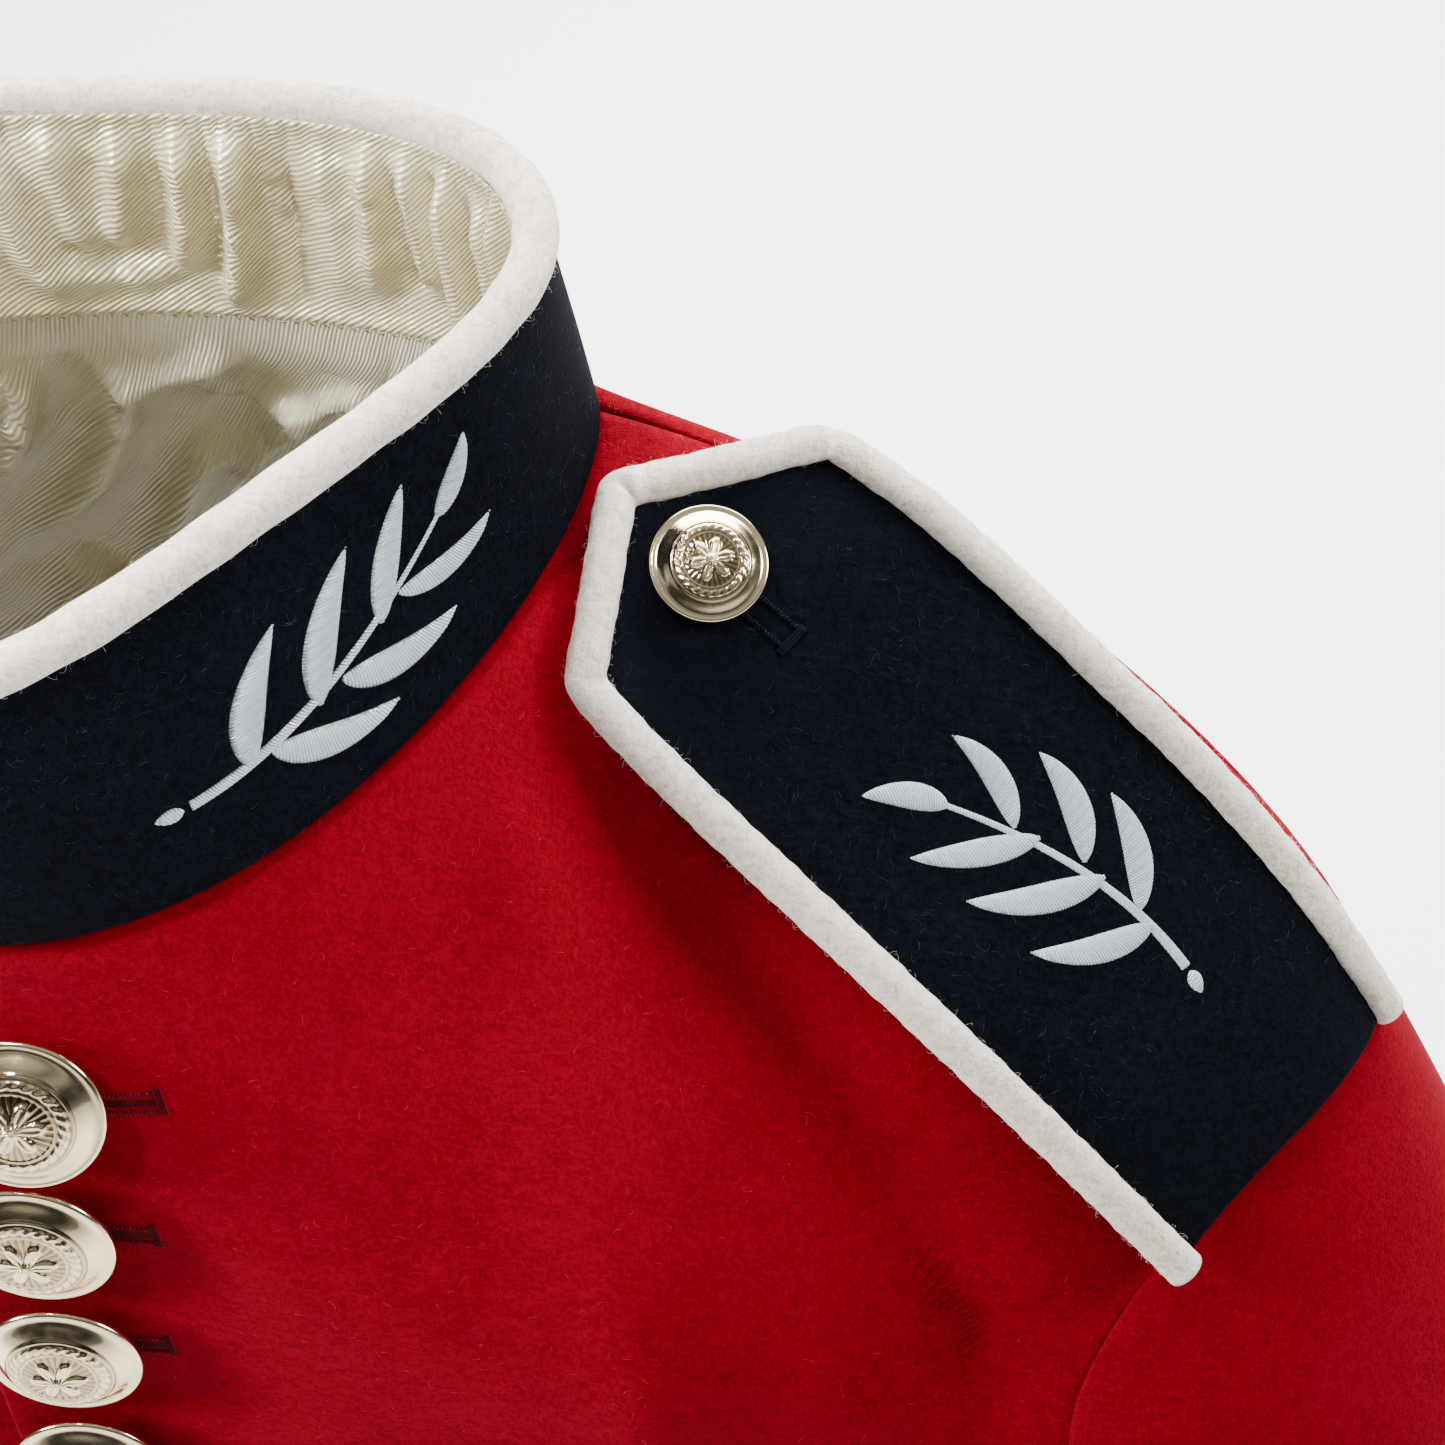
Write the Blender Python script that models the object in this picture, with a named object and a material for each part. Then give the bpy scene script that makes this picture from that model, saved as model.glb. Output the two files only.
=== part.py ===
# Full-dress foot guards tunic: scarlet wool body and sleeves, navy standing collar and
# shoulder straps edged with thick off-white wool piping, satin lining, domed metal buttons.
# The garment stands hollow, as if filled out with no wearer, with its front towards -Y.
import bpy
import numpy as np

MM = 0.001

# Cloth walls and clearances, mm
WOOL = 2.0
COLLAR_WALL = 3.0
COLLAR_PROUD = 1.4
SATIN = 1.0
STRAP_WALL = 2.2
SEAM = 0.34
LAYER = 0.3
LINING_GAP = 2.7

# Front closing, mm: how far each front runs past the centre front
LEFT_OVERLAP = 21.0
RIGHT_UNDERLAP = 20.0
LINING_START = 26.0

# Buttons, mm
FRONT_BUTTON_R = 12.7
STRAP_BUTTON_R = 9.2
BUTTON_PITCH = 29.5
BUTTON_GROUP_GAP = 16.0
FIRST_BUTTON = 26.0
BUTTON_TILT = 24.0

# Shoulder strap, mm and degrees: a flat band laid on the shoulder
STRAP_START = (81.0, 23.6, 7.7)
STRAP_TURN = 33.7
STRAP_SLOPE = 26.7
STRAP_LEAN = 23.2
STRAP_BEND = 26.4
STRAP_LENGTH = 157.0
STRAP_WIDTH = 61.0
STRAP_POINT_FRONT = 16.9
STRAP_POINT_BACK = 20.8
STRAP_GAP = 0.9
STRAP_FLAT = 3.0
STRAP_LIFT = 5.0
STRAP_BOW = 4.5
STRAP_SPREAD = 4.5
STRAP_SHIFT = 1.8
STRAP_END_GAP = 0.8
STRAP_PIPING = 6.4
STRAP_BUTTON_AT = 22.0

# Collar piping, mm
PIPING_WIDE = 3.5
PIPING_HIGH = 3.3

# Rings of the body from the neck seam to the hem, mm. Each row is one ring, "run" the
# distance down the cloth; cf centre front, fq front quarter, sd side, bq back quarter,
# cb centre back.
BODY_COLUMNS = ("run", "cf_y", "cf_z", "fq_x", "fq_y", "fq_z", "sd_x", "sd_y", "sd_z",
                "bq_x", "bq_y", "bq_z", "cb_y", "cb_z")
BODY = (
    (0, -56.2, -9.5, 52.8, -27.2, -3.9, 79.5, 30.2, 7.8, 58.1, 53.0, 12.8, 61.6, 14.4),
    (45, -63.7, -54.3, 71.4, -44.9, -50.9, 104.3, 23.5, 1.0, 69.4, 55.4, -7.5, 83.6, -20.0),
    (95, -67.0, -104.1, 109.7, -64.1, -95.4, 157.3, 13.0, -29.2, 102.1, 64.7, -47.4, 99.2, -68.2),
    (140, -72.4, -150.2, 138.9, -71.2, -143.8, 207.1, -1.7, -85.7, 131.8, 75.2, -103.5, 107.5, -118.7),
    (190, -82.9, -198.0, 145.2, -77.1, -193.5, 203.0, -1.5, -152.6, 146.3, 91.9, -167.1, 114.1, -177.0),
    (240, -89.1, -245.9, 139.4, -75.7, -246.0, 182.0, 3.8, -235.0, 143.8, 99.9, -238.2, 116.3, -238.1),
    (430, -88.0, -428.0, 119.0, -64.0, -427.0, 150.0, 5.0, -426.0, 119.0, 79.0, -425.0, 92.0, -425.0),
    (560, -98.0, -560.0, 133.0, -74.0, -560.0, 174.0, 5.0, -560.0, 137.0, 92.0, -560.0, 109.0, -560.0),
    (690, -106.0, -690.0, 147.0, -82.0, -690.0, 190.0, 6.0, -690.0, 149.0, 101.0, -690.0, 118.0, -690.0),
)

# Line of the piping on the collar's top edge, same stations
RIM_COLUMNS = ("cf_y", "cf_z", "fq_x", "fq_y", "fq_z", "sd_x", "sd_y", "sd_z",
               "bq_x", "bq_y", "bq_z", "cb_y", "cb_z")
RIM = ((-59.5, 41.0, 44.5, -28.6, 46.4, 75.6, 13.2, 52.0, 59.0, 46.6, 56.0, 56.0, 57.3),)

# Armhole of the left side: "way" round it (0 shoulder seam, 90 front, 180 under the arm),
# the angle and run of its edge on the body, and the run at the centre front or centre back
# of the panel row that ends there.
ARMHOLE_COLUMNS = ("way", "angle", "run", "centre_run")
ARMHOLE_FRONT = (
    (0, 97.0, 142.6, 58.0),
    (20, 88.0, 138.0, 65.0),
    (38, 76.6, 130.2, 75.0),
    (56, 63.8, 123.4, 88.0),
    (70, 55.8, 127.0, 102.0),
    (82, 52.2, 136.0, 118.0),
    (100, 51.8, 156.0, 146.0),
    (126, 56.5, 188.0, 184.0),
    (150, 70.0, 217.0, 214.0),
    (180, 98.0, 236.0, 238.0),
)
ARMHOLE_BACK = (
    (180, 98.0, 236.0, 238.0),
    (210, 118.0, 219.0, 212.0),
    (238, 127.5, 190.0, 178.0),
    (262, 129.5, 165.0, 142.0),
    (290, 126.0, 147.0, 108.0),
    (320, 117.0, 142.6, 86.0),
    (342, 107.0, 143.2, 71.0),
    (360, 97.0, 142.6, 60.0),
)
# Shoulder and side seams: angle and run at their ends
SEAM_COLUMNS = ("angle", "run")
SHOULDER_SEAM = ((101.0, 0.0), (97.0, 142.6))
SIDE_SEAM = ((98.0, 236.0), (99.0, 690.0))

# Rings of the left sleeve below its head, mm: centre and half sizes
SLEEVE_COLUMNS = ("run", "x", "y", "z", "half_x", "half_y")
SLEEVE = (
    (0.34, 226.0, 0.0, -262.0, 42.0, 72.0),
    (0.48, 233.0, -6.0, -340.0, 46.0, 67.0),
    (0.64, 243.0, -16.0, -440.0, 48.0, 61.0),
    (0.82, 245.0, -36.0, -560.0, 45.0, 54.0),
    (1.00, 245.0, -60.0, -686.0, 41.0, 47.0),
)
# How the sleeve head leaves the armhole, every 45 degrees of the way round it: its lean
# along the cloth, outwards and down, its reach as a share of the head, and how far it
# stands above the body.
HEAD_COLUMNS = ("way", "along_cloth", "outward", "down", "reach", "lift")
HEAD = (
    (0, 0.95, 0.30, 0.60, 0.15, 2.4),
    (45, 0.90, 0.40, 0.40, 0.21, 2.6),
    (90, 0.85, 0.50, 0.20, 0.34, 2.0),
    (135, 0.30, 0.80, 0.50, 0.34, 0.8),
    (180, -0.10, 0.90, 0.70, 0.34, 0.4),
    (225, 0.30, 0.80, 0.50, 0.34, 0.8),
    (270, 0.85, 0.50, 0.20, 0.34, 1.6),
    (315, 0.90, 0.35, 0.50, 0.16, 0.6),
)
HEAD_END = 0.36

# Largest folds of the linings: where, how far they stand in, and their width
COLLAR_FOLDS_COLUMNS = ("angle", "depth", "width", "slant")
COLLAR_FOLDS = (
    (58, 2.6, 5.0, 6), (74, 2.0, 4.0, -5), (88, 2.8, 5.0, 4), (104, 3.6, 5.5, 8),
    (121, 2.4, 4.5, -6), (136, 3.2, 6.0, 5), (154, 2.2, 5.0, -7), (171, 3.8, 7.0, 9),
    (189, 2.4, 5.0, -4), (206, 3.0, 6.0, 6), (224, 2.2, 5.0, -6), (243, 2.8, 6.0, 5),
    (262, 2.2, 5.0, 6), (281, 2.6, 5.0, -5), (300, 2.0, 5.0, 5),
)
BODY_FOLDS_COLUMNS = ("angle", "run", "depth", "across", "along", "slant")
BODY_FOLDS = (
    (128, 34, 5.0, 7.0, 26, 14), (146, 52, 6.0, 8.0, 34, -18), (163, 30, 5.5, 8.0, 24, 20),
    (180, 60, 6.0, 9.0, 38, 12), (198, 36, 5.0, 8.0, 28, -16), (216, 58, 6.0, 9.0, 36, 14),
    (232, 34, 4.5, 7.0, 26, -12),
)

SCARLET = (0.52, 0.0, 0.006)
NAVY = (0.0045, 0.006, 0.013)
OFF_WHITE = (0.82, 0.76, 0.69)
CHAMPAGNE = (0.75, 0.70, 0.50)
GILT = (0.87, 0.80, 0.62)


def unit(v):
    """Each vector divided by its own length."""
    return v / np.maximum(np.linalg.norm(v, axis=-1, keepdims=True), 1e-12)


def second_slopes(x, y):
    """Second derivatives of the natural cubic curve through the rows of y at x."""
    n = len(x)
    h = np.diff(x)
    a = np.eye(n)
    b = np.zeros((n, y[0].size))
    flat = y.reshape(n, -1)
    for i in range(1, n - 1):
        a[i, i - 1:i + 2] = h[i - 1], 2 * (h[i - 1] + h[i]), h[i]
        b[i] = 6 * ((flat[i + 1] - flat[i]) / h[i] - (flat[i] - flat[i - 1]) / h[i - 1])
    return np.linalg.solve(a, b).reshape(y.shape)


def along(x, y, m, q):
    """Value at q of the natural cubic curve with second slopes m."""
    i = np.clip(np.searchsorted(x, q, side="right") - 1, 0, len(x) - 2)
    extra = (...,) + (None,) * (y.ndim - 1)
    h = (x[i + 1] - x[i])[extra]
    a = (x[i + 1] - q)[extra] / h
    b = (q - x[i])[extra] / h
    bend = ((a ** 3 - a) * m[i] + (b ** 3 - b) * m[i + 1]) * h ** 2 / 6
    return a * y[i] + b * y[i + 1] + bend


def curve(rows, q):
    """Smooth curve through table rows whose first column is the place along it."""
    t = np.array(rows, float)
    return along(t[:, 0], t[:, 1:], second_slopes(t[:, 0], t[:, 1:]), np.asarray(q, float))


RING_INV = np.linalg.inv(np.array(
    [[4.0 if i == j else (1.0 if (i - j) % 8 in (1, 7) else 0.0) for j in range(8)]
     for i in range(8)]))


def round_ring(points, angle):
    """Point at an angle on the closed cubic curve through eight points 45 degrees apart."""
    d2 = 6 * (np.roll(points, -1, -2) - 2 * points + np.roll(points, 1, -2))
    m = np.einsum("ij,...jk->...ik", RING_INV, d2)
    q = (np.asarray(angle, float) / 45.0) % 8
    i = np.floor(q).astype(int) % 8
    b = (q - np.floor(q))[..., None]
    a = 1 - b
    j = (i + 1) % 8

    def pick(arr, k):
        return np.take_along_axis(arr, k[..., None, None], -2)[..., 0, :]

    return (a * pick(points, i) + b * pick(points, j)
            + ((a ** 3 - a) * pick(m, i) + (b ** 3 - b) * pick(m, j)) / 6)


def eight(rows):
    """The eight points round each ring from its table row, both sides alike."""
    r = np.array(rows, float).T
    zero = np.zeros(r.shape[1])
    cf = np.stack((zero, r[0], r[1]), 1)
    fq = np.stack((r[2], r[3], r[4]), 1)
    sd = np.stack((r[5], r[6], r[7]), 1)
    bq = np.stack((r[8], r[9], r[10]), 1)
    cb = np.stack((zero, r[11], r[12]), 1)
    other = np.array((-1.0, 1.0, 1.0))
    return np.stack((cf, fq, sd, bq, cb, bq * other, sd * other, fq * other), 1)


RUNS = np.array([row[0] for row in BODY], float)
BODY_EIGHT = eight([row[1:] for row in BODY])
BODY_M = second_slopes(RUNS, BODY_EIGHT)
RIM_EIGHT = eight(RIM)[0]


def body(angle, run):
    """Outer face of the body: angle 0 centre front, 90 wearer's left, 180 centre back."""
    angle, run = np.broadcast_arrays(np.asarray(angle, float), np.asarray(run, float))
    return round_ring(along(RUNS, BODY_EIGHT, BODY_M, run), angle)


def body_normal(angle, run):
    """Outward direction of the body's face."""
    angle, run = np.broadcast_arrays(np.asarray(angle, float), np.asarray(run, float))
    low = np.clip(run - 1, 0, None)
    down = body(angle, run + 1) - body(angle, low)
    turn = body(angle + 0.5, run) - body(angle - 0.5, run)
    return unit(np.cross(down, turn))


def turn_by(angle, run, mm):
    """The angle moved round its ring by a length of cloth."""
    size = np.linalg.norm(body(angle + 0.5, run) - body(angle - 0.5, run), axis=-1)
    return angle + mm / size


def foot(p, angle, run):
    """Angle and run of the body point nearest to each p, from a first guess."""
    for _ in range(10):
        s = body(angle, run)
        da = (body(angle + 0.25, run) - body(angle - 0.25, run)) / 0.5
        dr = (body(angle, run + 0.5) - body(angle, np.clip(run - 0.5, 0, None)))
        dr = dr / (run + 0.5 - np.clip(run - 0.5, 0, None))[..., None]
        e = p - s
        aa = (da * da).sum(-1)
        ab = (da * dr).sum(-1)
        bb = (dr * dr).sum(-1)
        ea = (e * da).sum(-1)
        eb = (e * dr).sum(-1)
        det = aa * bb - ab * ab
        angle = angle + np.clip((bb * ea - ab * eb) / det, -8, 8)
        run = np.clip(run + np.clip((aa * eb - ab * ea) / det, -20, 20), 0, 690)
    return angle, run


def make(name, verts, faces, colour, rough, metal=0.0):
    """One closed solid with its own material, faces turned outwards."""
    v = np.asarray(verts, float) * MM
    faces = [tuple(int(k) for k in f) for f in faces]
    vol = 0.0
    for f in faces:
        for k in range(1, len(f) - 1):
            vol += np.dot(v[f[0]], np.cross(v[f[k]], v[f[k + 1]]))
    if vol < 0:
        faces = [f[::-1] for f in faces]
    mesh = bpy.data.meshes.new(name)
    mesh.from_pydata(v.tolist(), [], faces)
    mesh.validate()
    obj = bpy.data.objects.new(name, mesh)
    bpy.context.scene.collection.objects.link(obj)
    mat = bpy.data.materials.new(name)
    mat.use_nodes = True
    shader = mat.node_tree.nodes["Principled BSDF"]
    shader.inputs["Base Color"].default_value = (*colour, 1.0)
    shader.inputs["Roughness"].default_value = rough
    shader.inputs["Metallic"].default_value = metal
    mesh.materials.append(mat)
    return obj


def wall(name, p, n, outer, inner, colour, rough):
    """Cloth panel: the grid p moved out along n to each face, closed round its edge."""
    rows, cols = p.shape[:2]
    outer = np.broadcast_to(np.asarray(outer, float), p.shape[:2])[..., None]
    inner = np.broadcast_to(np.asarray(inner, float), p.shape[:2])[..., None]
    a = (p + n * outer).reshape(-1, 3)
    b = (p + n * inner).reshape(-1, 3)
    total = rows * cols
    faces = []
    for i in range(rows - 1):
        for j in range(cols - 1):
            k = i * cols + j
            faces.append((k, k + 1, k + cols + 1, k + cols))
            faces.append((total + k, total + k + cols, total + k + cols + 1, total + k + 1))
    rim = [j for j in range(cols)]
    rim += [i * cols + cols - 1 for i in range(1, rows)]
    rim += [(rows - 1) * cols + j for j in range(cols - 2, -1, -1)]
    rim += [i * cols for i in range(rows - 2, 0, -1)]
    for k, here in enumerate(rim):
        after = rim[(k + 1) % len(rim)]
        faces.append((after, here, total + here, total + after))
    return make(name, np.concatenate((a, b)), faces, colour, rough)


def tube(name, centre, side, up, half_side, half_up, count, colour, rough):
    """Round piping along a line of centres, closed at both ends."""
    w = np.linspace(0, 2 * np.pi, count, endpoint=False)
    ring = (centre[:, None] + side[:, None] * (np.cos(w) * half_side)[None, :, None]
            + up[:, None] * (np.sin(w) * half_up)[None, :, None])
    rows = len(centre)
    verts = ring.reshape(-1, 3)
    faces = []
    for i in range(rows - 1):
        for j in range(count):
            k = (j + 1) % count
            faces.append((i * count + j, i * count + k, (i + 1) * count + k,
                          (i + 1) * count + j))
    faces.append(tuple(range(count - 1, -1, -1)))
    faces.append(tuple((rows - 1) * count + j for j in range(count)))
    return make(name, verts, faces, colour, rough)


def mirror(p):
    """The same points on the wearer's right."""
    return p * np.array((-1.0, 1.0, 1.0))


for old in list(bpy.data.objects):
    bpy.data.objects.remove(old, do_unlink=True)


def armhole(way):
    """Angle and run of the armhole's edge, a closed smooth curve."""
    rows = [row[:3] for row in ARMHOLE_FRONT[:-1]] + [row[:3] for row in ARMHOLE_BACK[:-1]]
    before = [(w - 360, a, r) for w, a, r in rows[-3:]]
    after = [(w + 360, a, r) for w, a, r in rows[:3]]
    both = curve(before + rows + after, np.asarray(way, float) % 360)
    return both[..., 0], both[..., 1]


def edge_rows(side, seam_count, hole_count, low_count):
    """Outer edge of a panel down the shoulder seam, armhole and side seam: its angle and
    run, and the run at the panel's centre edge."""
    t = np.linspace(0, 1, seam_count, endpoint=False)
    (a0, r0), (a1, r1) = SHOULDER_SEAM
    table = ARMHOLE_FRONT if side == "front" else ARMHOLE_BACK[::-1]
    angle, run, mid = a0 + (a1 - a0) * t, r0 + (r1 - r0) * t, table[0][3] * t
    if side == "front":
        way = np.linspace(0, 180, hole_count, endpoint=False)
        level = curve([(row[0], row[3]) for row in table], way)[:, 0]
    else:
        way = np.linspace(360, 180, hole_count, endpoint=False)
        level = curve([(row[0], row[3]) for row in ARMHOLE_BACK], way)[:, 0]
    a2, r2 = armhole(way)
    t = np.linspace(0, 1, low_count)
    (a3, r3), (a4, r4) = SIDE_SEAM
    low = table[-1][3]
    return (np.concatenate((angle, a2, a3 + (a4 - a3) * t)),
            np.concatenate((run, r2, r3 + (r4 - r3) * t)),
            np.concatenate((mid, level, low + (r4 - low) * t)))


def panel_grid(edge, cols, centre, past_mm, edge_mm):
    """Angles and runs of a panel from its centre edge to its outer edge."""
    end_angle, end_run, mid_run = edge
    sign = -1.0 if centre > 90 else 1.0
    first = turn_by(np.full(len(mid_run), float(centre)), mid_run, sign * past_mm)
    last = turn_by(end_angle, end_run, -sign * edge_mm)
    u = np.linspace(0, 1, cols)
    angle = first[:, None] + (last - first)[:, None] * u[None]
    run = mid_run[:, None] + (end_run - mid_run)[:, None] * (u ** 1.35)[None]
    return angle, run


# Fronts: the left lies over the right, which sinks by its wall and a little air where
# they overlap.
FRONT_ROWS = edge_rows("front", 5, 14, 10)
BACK_ROWS = edge_rows("back", 5, 12, 9)


def under_layer(angle, run):
    """How far the right front is pressed in beneath the left one, 0 to 1."""
    signed = (np.asarray(angle) + 180) % 360 - 180
    unit_mm = np.linalg.norm(body(0.5, run) - body(-0.5, run), axis=-1)
    x = signed * unit_mm
    return 1 - np.clip((-x - LEFT_OVERLAP - 12.0) / 14.0, 0, 1)


a, r = panel_grid(FRONT_ROWS, 13, 0.0, -LEFT_OVERLAP, SEAM / 2)
wall("left_front", body(a, r), body_normal(a, r), 0.0, -WOOL, SCARLET, 0.9)
a, r = panel_grid(FRONT_ROWS, 13, 0.0, -RIGHT_UNDERLAP, SEAM / 2)
press = under_layer(-a, r) * (WOOL + 0.7)
wall("right_front", mirror(body(a, r)), mirror(body_normal(a, r)), -press, -press - WOOL,
     SCARLET, 0.9)

# Backs, joined at the centre back
a, r = panel_grid(BACK_ROWS, 10, 180.0, SEAM / 2, SEAM / 2)
wall("left_back", body(a, r), body_normal(a, r), 0.0, -WOOL, SCARLET, 0.9)
wall("right_back", mirror(body(a, r)), mirror(body_normal(a, r)), 0.0, -WOOL, SCARLET, 0.9)


# Collar: a band from the neck seam up to the piping
def collar(angle, up):
    """Collar's outer face: up 0 at the neck seam, 1 at the line of the piping."""
    angle, up = np.broadcast_arrays(np.asarray(angle, float), np.asarray(up, float))
    low = body(angle, np.zeros(angle.shape))
    top = round_ring(np.broadcast_to(RIM_EIGHT, angle.shape + (8, 3)), angle)
    return low + (top - low) * up[..., None]


def collar_normal(angle, up):
    """Outward direction of the collar's face."""
    rise = collar(angle, np.asarray(up) + 0.02) - collar(angle, np.asarray(up) - 0.02)
    turn = collar(np.asarray(angle) + 0.5, up) - collar(np.asarray(angle) - 0.5, up)
    return unit(np.cross(turn, rise))


RIM_LENGTH = 49.0
around = np.linspace(0.45, 359.55, 51)
up = np.linspace(0.4 / RIM_LENGTH, 1 - (PIPING_HIGH + 0.8) / RIM_LENGTH, 3)
A, U = np.meshgrid(around, up)
wall("collar", collar(A, U), collar_normal(A, U), COLLAR_PROUD, COLLAR_PROUD - COLLAR_WALL,
     NAVY, 0.9)

top = collar(around, 1.0)
out = collar_normal(around, 1.0)
rise = unit(collar(around, 1.0) - collar(around, 0.9))
tube("collar_piping", top - out * 0.1, out, rise, PIPING_WIDE, PIPING_HIGH, 8, OFF_WHITE, 0.9)


# Collar lining, puckered upright
def collar_fold(angle, up):
    """How far the collar lining stands in from the collar at each place."""
    total = np.zeros(np.broadcast(angle, up).shape)
    for where, depth, width, slant in COLLAR_FOLDS:
        off = angle - where - slant * (up - 0.5)
        total = total + depth * np.exp(-(off / width) ** 2)
    ends = np.clip(np.minimum(up / 0.18, (1 - up) / 0.22), 0, 1)
    return total * ends * ends * (3 - 2 * ends)


around = np.linspace(6, 354, 65)
up = np.linspace(0.7 / RIM_LENGTH, 1 - (PIPING_HIGH + 1.0) / RIM_LENGTH, 5)
A, U = np.meshgrid(around, up)
inset = COLLAR_PROUD - COLLAR_WALL - 0.6 - collar_fold(A, (U - U.min()) / (U.max() - U.min()))
wall("collar_lining", collar(A, U), collar_normal(A, U), inset, inset - SATIN, CHAMPAGNE, 0.4)


# Body linings, crumpled inside the back of the neck
def body_fold(angle, run):
    """How far the body lining stands in from the cloth at each place."""
    total = np.zeros(np.broadcast(angle, run).shape)
    for where, at, depth, across, length, slant in BODY_FOLDS:
        off = angle - where - slant * (run - at) / 60.0
        total = total + depth * np.exp(-(off / across) ** 2) * np.exp(-((run - at) / length) ** 2)
    start = np.clip((run - 3) / 16.0, 0, 1)
    return total * start


LINING_SHORT = 24.0


def lining_run(run):
    """Run down the cloth, started below the neck seam and stopped above the hem."""
    return 1.0 + run * (690 - LINING_SHORT) / 690


a, r = panel_grid(FRONT_ROWS, 6, 0.0, LINING_START, 1.6)
r = lining_run(r)
n = body_normal(a, r)
inset = -WOOL - LINING_GAP
wall("left_front_lining", body(a, r), n, inset, inset - SATIN, CHAMPAGNE, 0.4)
press = under_layer(-a, r) * (WOOL + 0.7)
wall("right_front_lining", mirror(body(a, r)), mirror(n), inset - press,
     inset - SATIN - press, CHAMPAGNE, 0.4)
a, r = panel_grid(BACK_ROWS, 10, 180.0, 0.0, 1.6)
a = np.concatenate((a[:, ::-1], 360 - a[:, 1:]), 1)
r = lining_run(np.concatenate((r[:, ::-1], r[:, 1:]), 1))
inset = -WOOL - LINING_GAP - body_fold(a, r)
wall("back_lining", body(a, r), body_normal(a, r), inset, inset - SATIN, CHAMPAGNE, 0.4)


# Sleeves: the head starts at the armhole and turns down into the tube
HEAD_EIGHT = np.array([row[1:] for row in HEAD], float)


def sleeve(way, down):
    """Left sleeve's outer face: down 0 at the armhole, 1 at the cuff."""
    way, down = np.broadcast_arrays(np.asarray(way, float), np.asarray(down, float))
    angle, run = armhole(way)
    p = body(angle, run)
    n = body_normal(angle, run)
    a1, r1 = armhole(way + 3)
    a0, r0 = armhole(way - 3)
    lie = unit(body(a1, r1) - body(a0, r0))
    outside = unit(np.cross(n, lie))
    h = round_ring(np.broadcast_to(HEAD_EIGHT, way.shape + HEAD_EIGHT.shape), way)
    start = p + n * h[..., 4:5] + outside * SEAM
    leave = outside * h[..., 0:1] + n * h[..., 1:2] + np.array((0, 0, -1.0)) * h[..., 2:3]
    table = np.array(SLEEVE, float)
    c = curve(SLEEVE, np.clip(down, table[0, 0], 1))
    c2 = curve(SLEEVE, np.clip(down, table[0, 0], 1) + 0.02)
    axis = unit(c2[..., :3] - c[..., :3])
    w = np.radians(way)
    flat = np.stack((np.cos(w) * c[..., 3], -np.sin(w) * c[..., 4], np.zeros(w.shape)), -1)
    flat[..., 2] = -(flat[..., 0] * axis[..., 0] + flat[..., 1] * axis[..., 1]) / axis[..., 2]
    ring = c[..., :3] + flat
    t = np.clip(down / table[0, 0], 0, 1)[..., None]
    b0 = (1 - t) ** 3
    b1 = 3 * t * (1 - t) ** 2
    b2 = 3 * t * t * (1 - t)
    far = np.linalg.norm(ring - start, axis=-1, keepdims=True)
    leave = unit(leave) * h[..., 3:4] * far
    head = (b0 * start + b1 * (start + leave) + b2 * (ring - axis * HEAD_END * far)
            + t ** 3 * ring)
    return np.where(down[..., None] < table[0, 0], head, ring)


def sleeve_normal(way, down):
    """Outward direction of the sleeve's face."""
    d = np.asarray(down, float)
    along_it = sleeve(way, np.clip(d + 0.006, 0, 1)) - sleeve(way, np.clip(d - 0.006, 0, 1))
    turn = sleeve(np.asarray(way) + 1.5, d) - sleeve(np.asarray(way) - 1.5, d)
    return unit(np.cross(turn, along_it))


down = np.concatenate((np.linspace(0, 0.34, 10)[:-1], np.linspace(0.34, 1, 9)))
FRONT_SEAM_WAY = 118.0
HIND_SEAM_WAY = 232.0
for side, flip in (("left", None), ("right", mirror)):
    for piece, first, last, cols in (("top_sleeve", HIND_SEAM_WAY - 360, FRONT_SEAM_WAY, 14),
                                     ("under_sleeve", FRONT_SEAM_WAY, HIND_SEAM_WAY, 7)):
        w = np.linspace(first + 0.35, last - 0.35, cols)
        W, D = np.meshgrid(w, down)
        p, n = sleeve(W, D), sleeve_normal(W, D)
        if flip:
            p, n = flip(p), flip(n)
        wall(side + "_" + piece, p, n, 0.0, -WOOL, SCARLET, 0.9)


# Shoulder straps: a flat band with a pointed neck end, laid on the shoulder
def strap_frame():
    """The strap's own directions at its neck end: along it, across it and outwards."""
    turn, slope, lean = np.radians((STRAP_TURN, STRAP_SLOPE, STRAP_LEAN))
    s = np.array((np.cos(slope) * np.cos(turn), -np.cos(slope) * np.sin(turn), -np.sin(slope)))
    w0 = np.array((np.sin(turn), np.cos(turn), 0.0))
    w = np.cos(lean) * w0 + np.sin(lean) * np.cross(s, w0)
    return s, w, np.cross(s, w)


def strap(length, across):
    """Angle and run on the body under a place of the strap, in mm along and across it."""
    s, w, n = strap_frame()
    bend = np.radians(STRAP_BEND) / STRAP_LENGTH
    turn = bend * length
    ahead = np.sin(turn) / bend
    fall = (1 - np.cos(turn)) / bend
    p = (np.array(STRAP_START) + s * ahead[..., None] - n * fall[..., None]
         + w * across[..., None])
    guess_a = np.full(length.shape, 80.0) + across * 0.3
    guess_r = 20.0 + length * 0.8
    return foot(p, guess_a, guess_r)


def strap_end(across):
    """Length of the neck end's point at a place across the strap."""
    half = STRAP_WIDTH / 2
    front = STRAP_POINT_FRONT * np.clip(-across / half, 0, None)
    back = STRAP_POINT_BACK * np.clip(across / half, 0, None)
    return front + back


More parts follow.
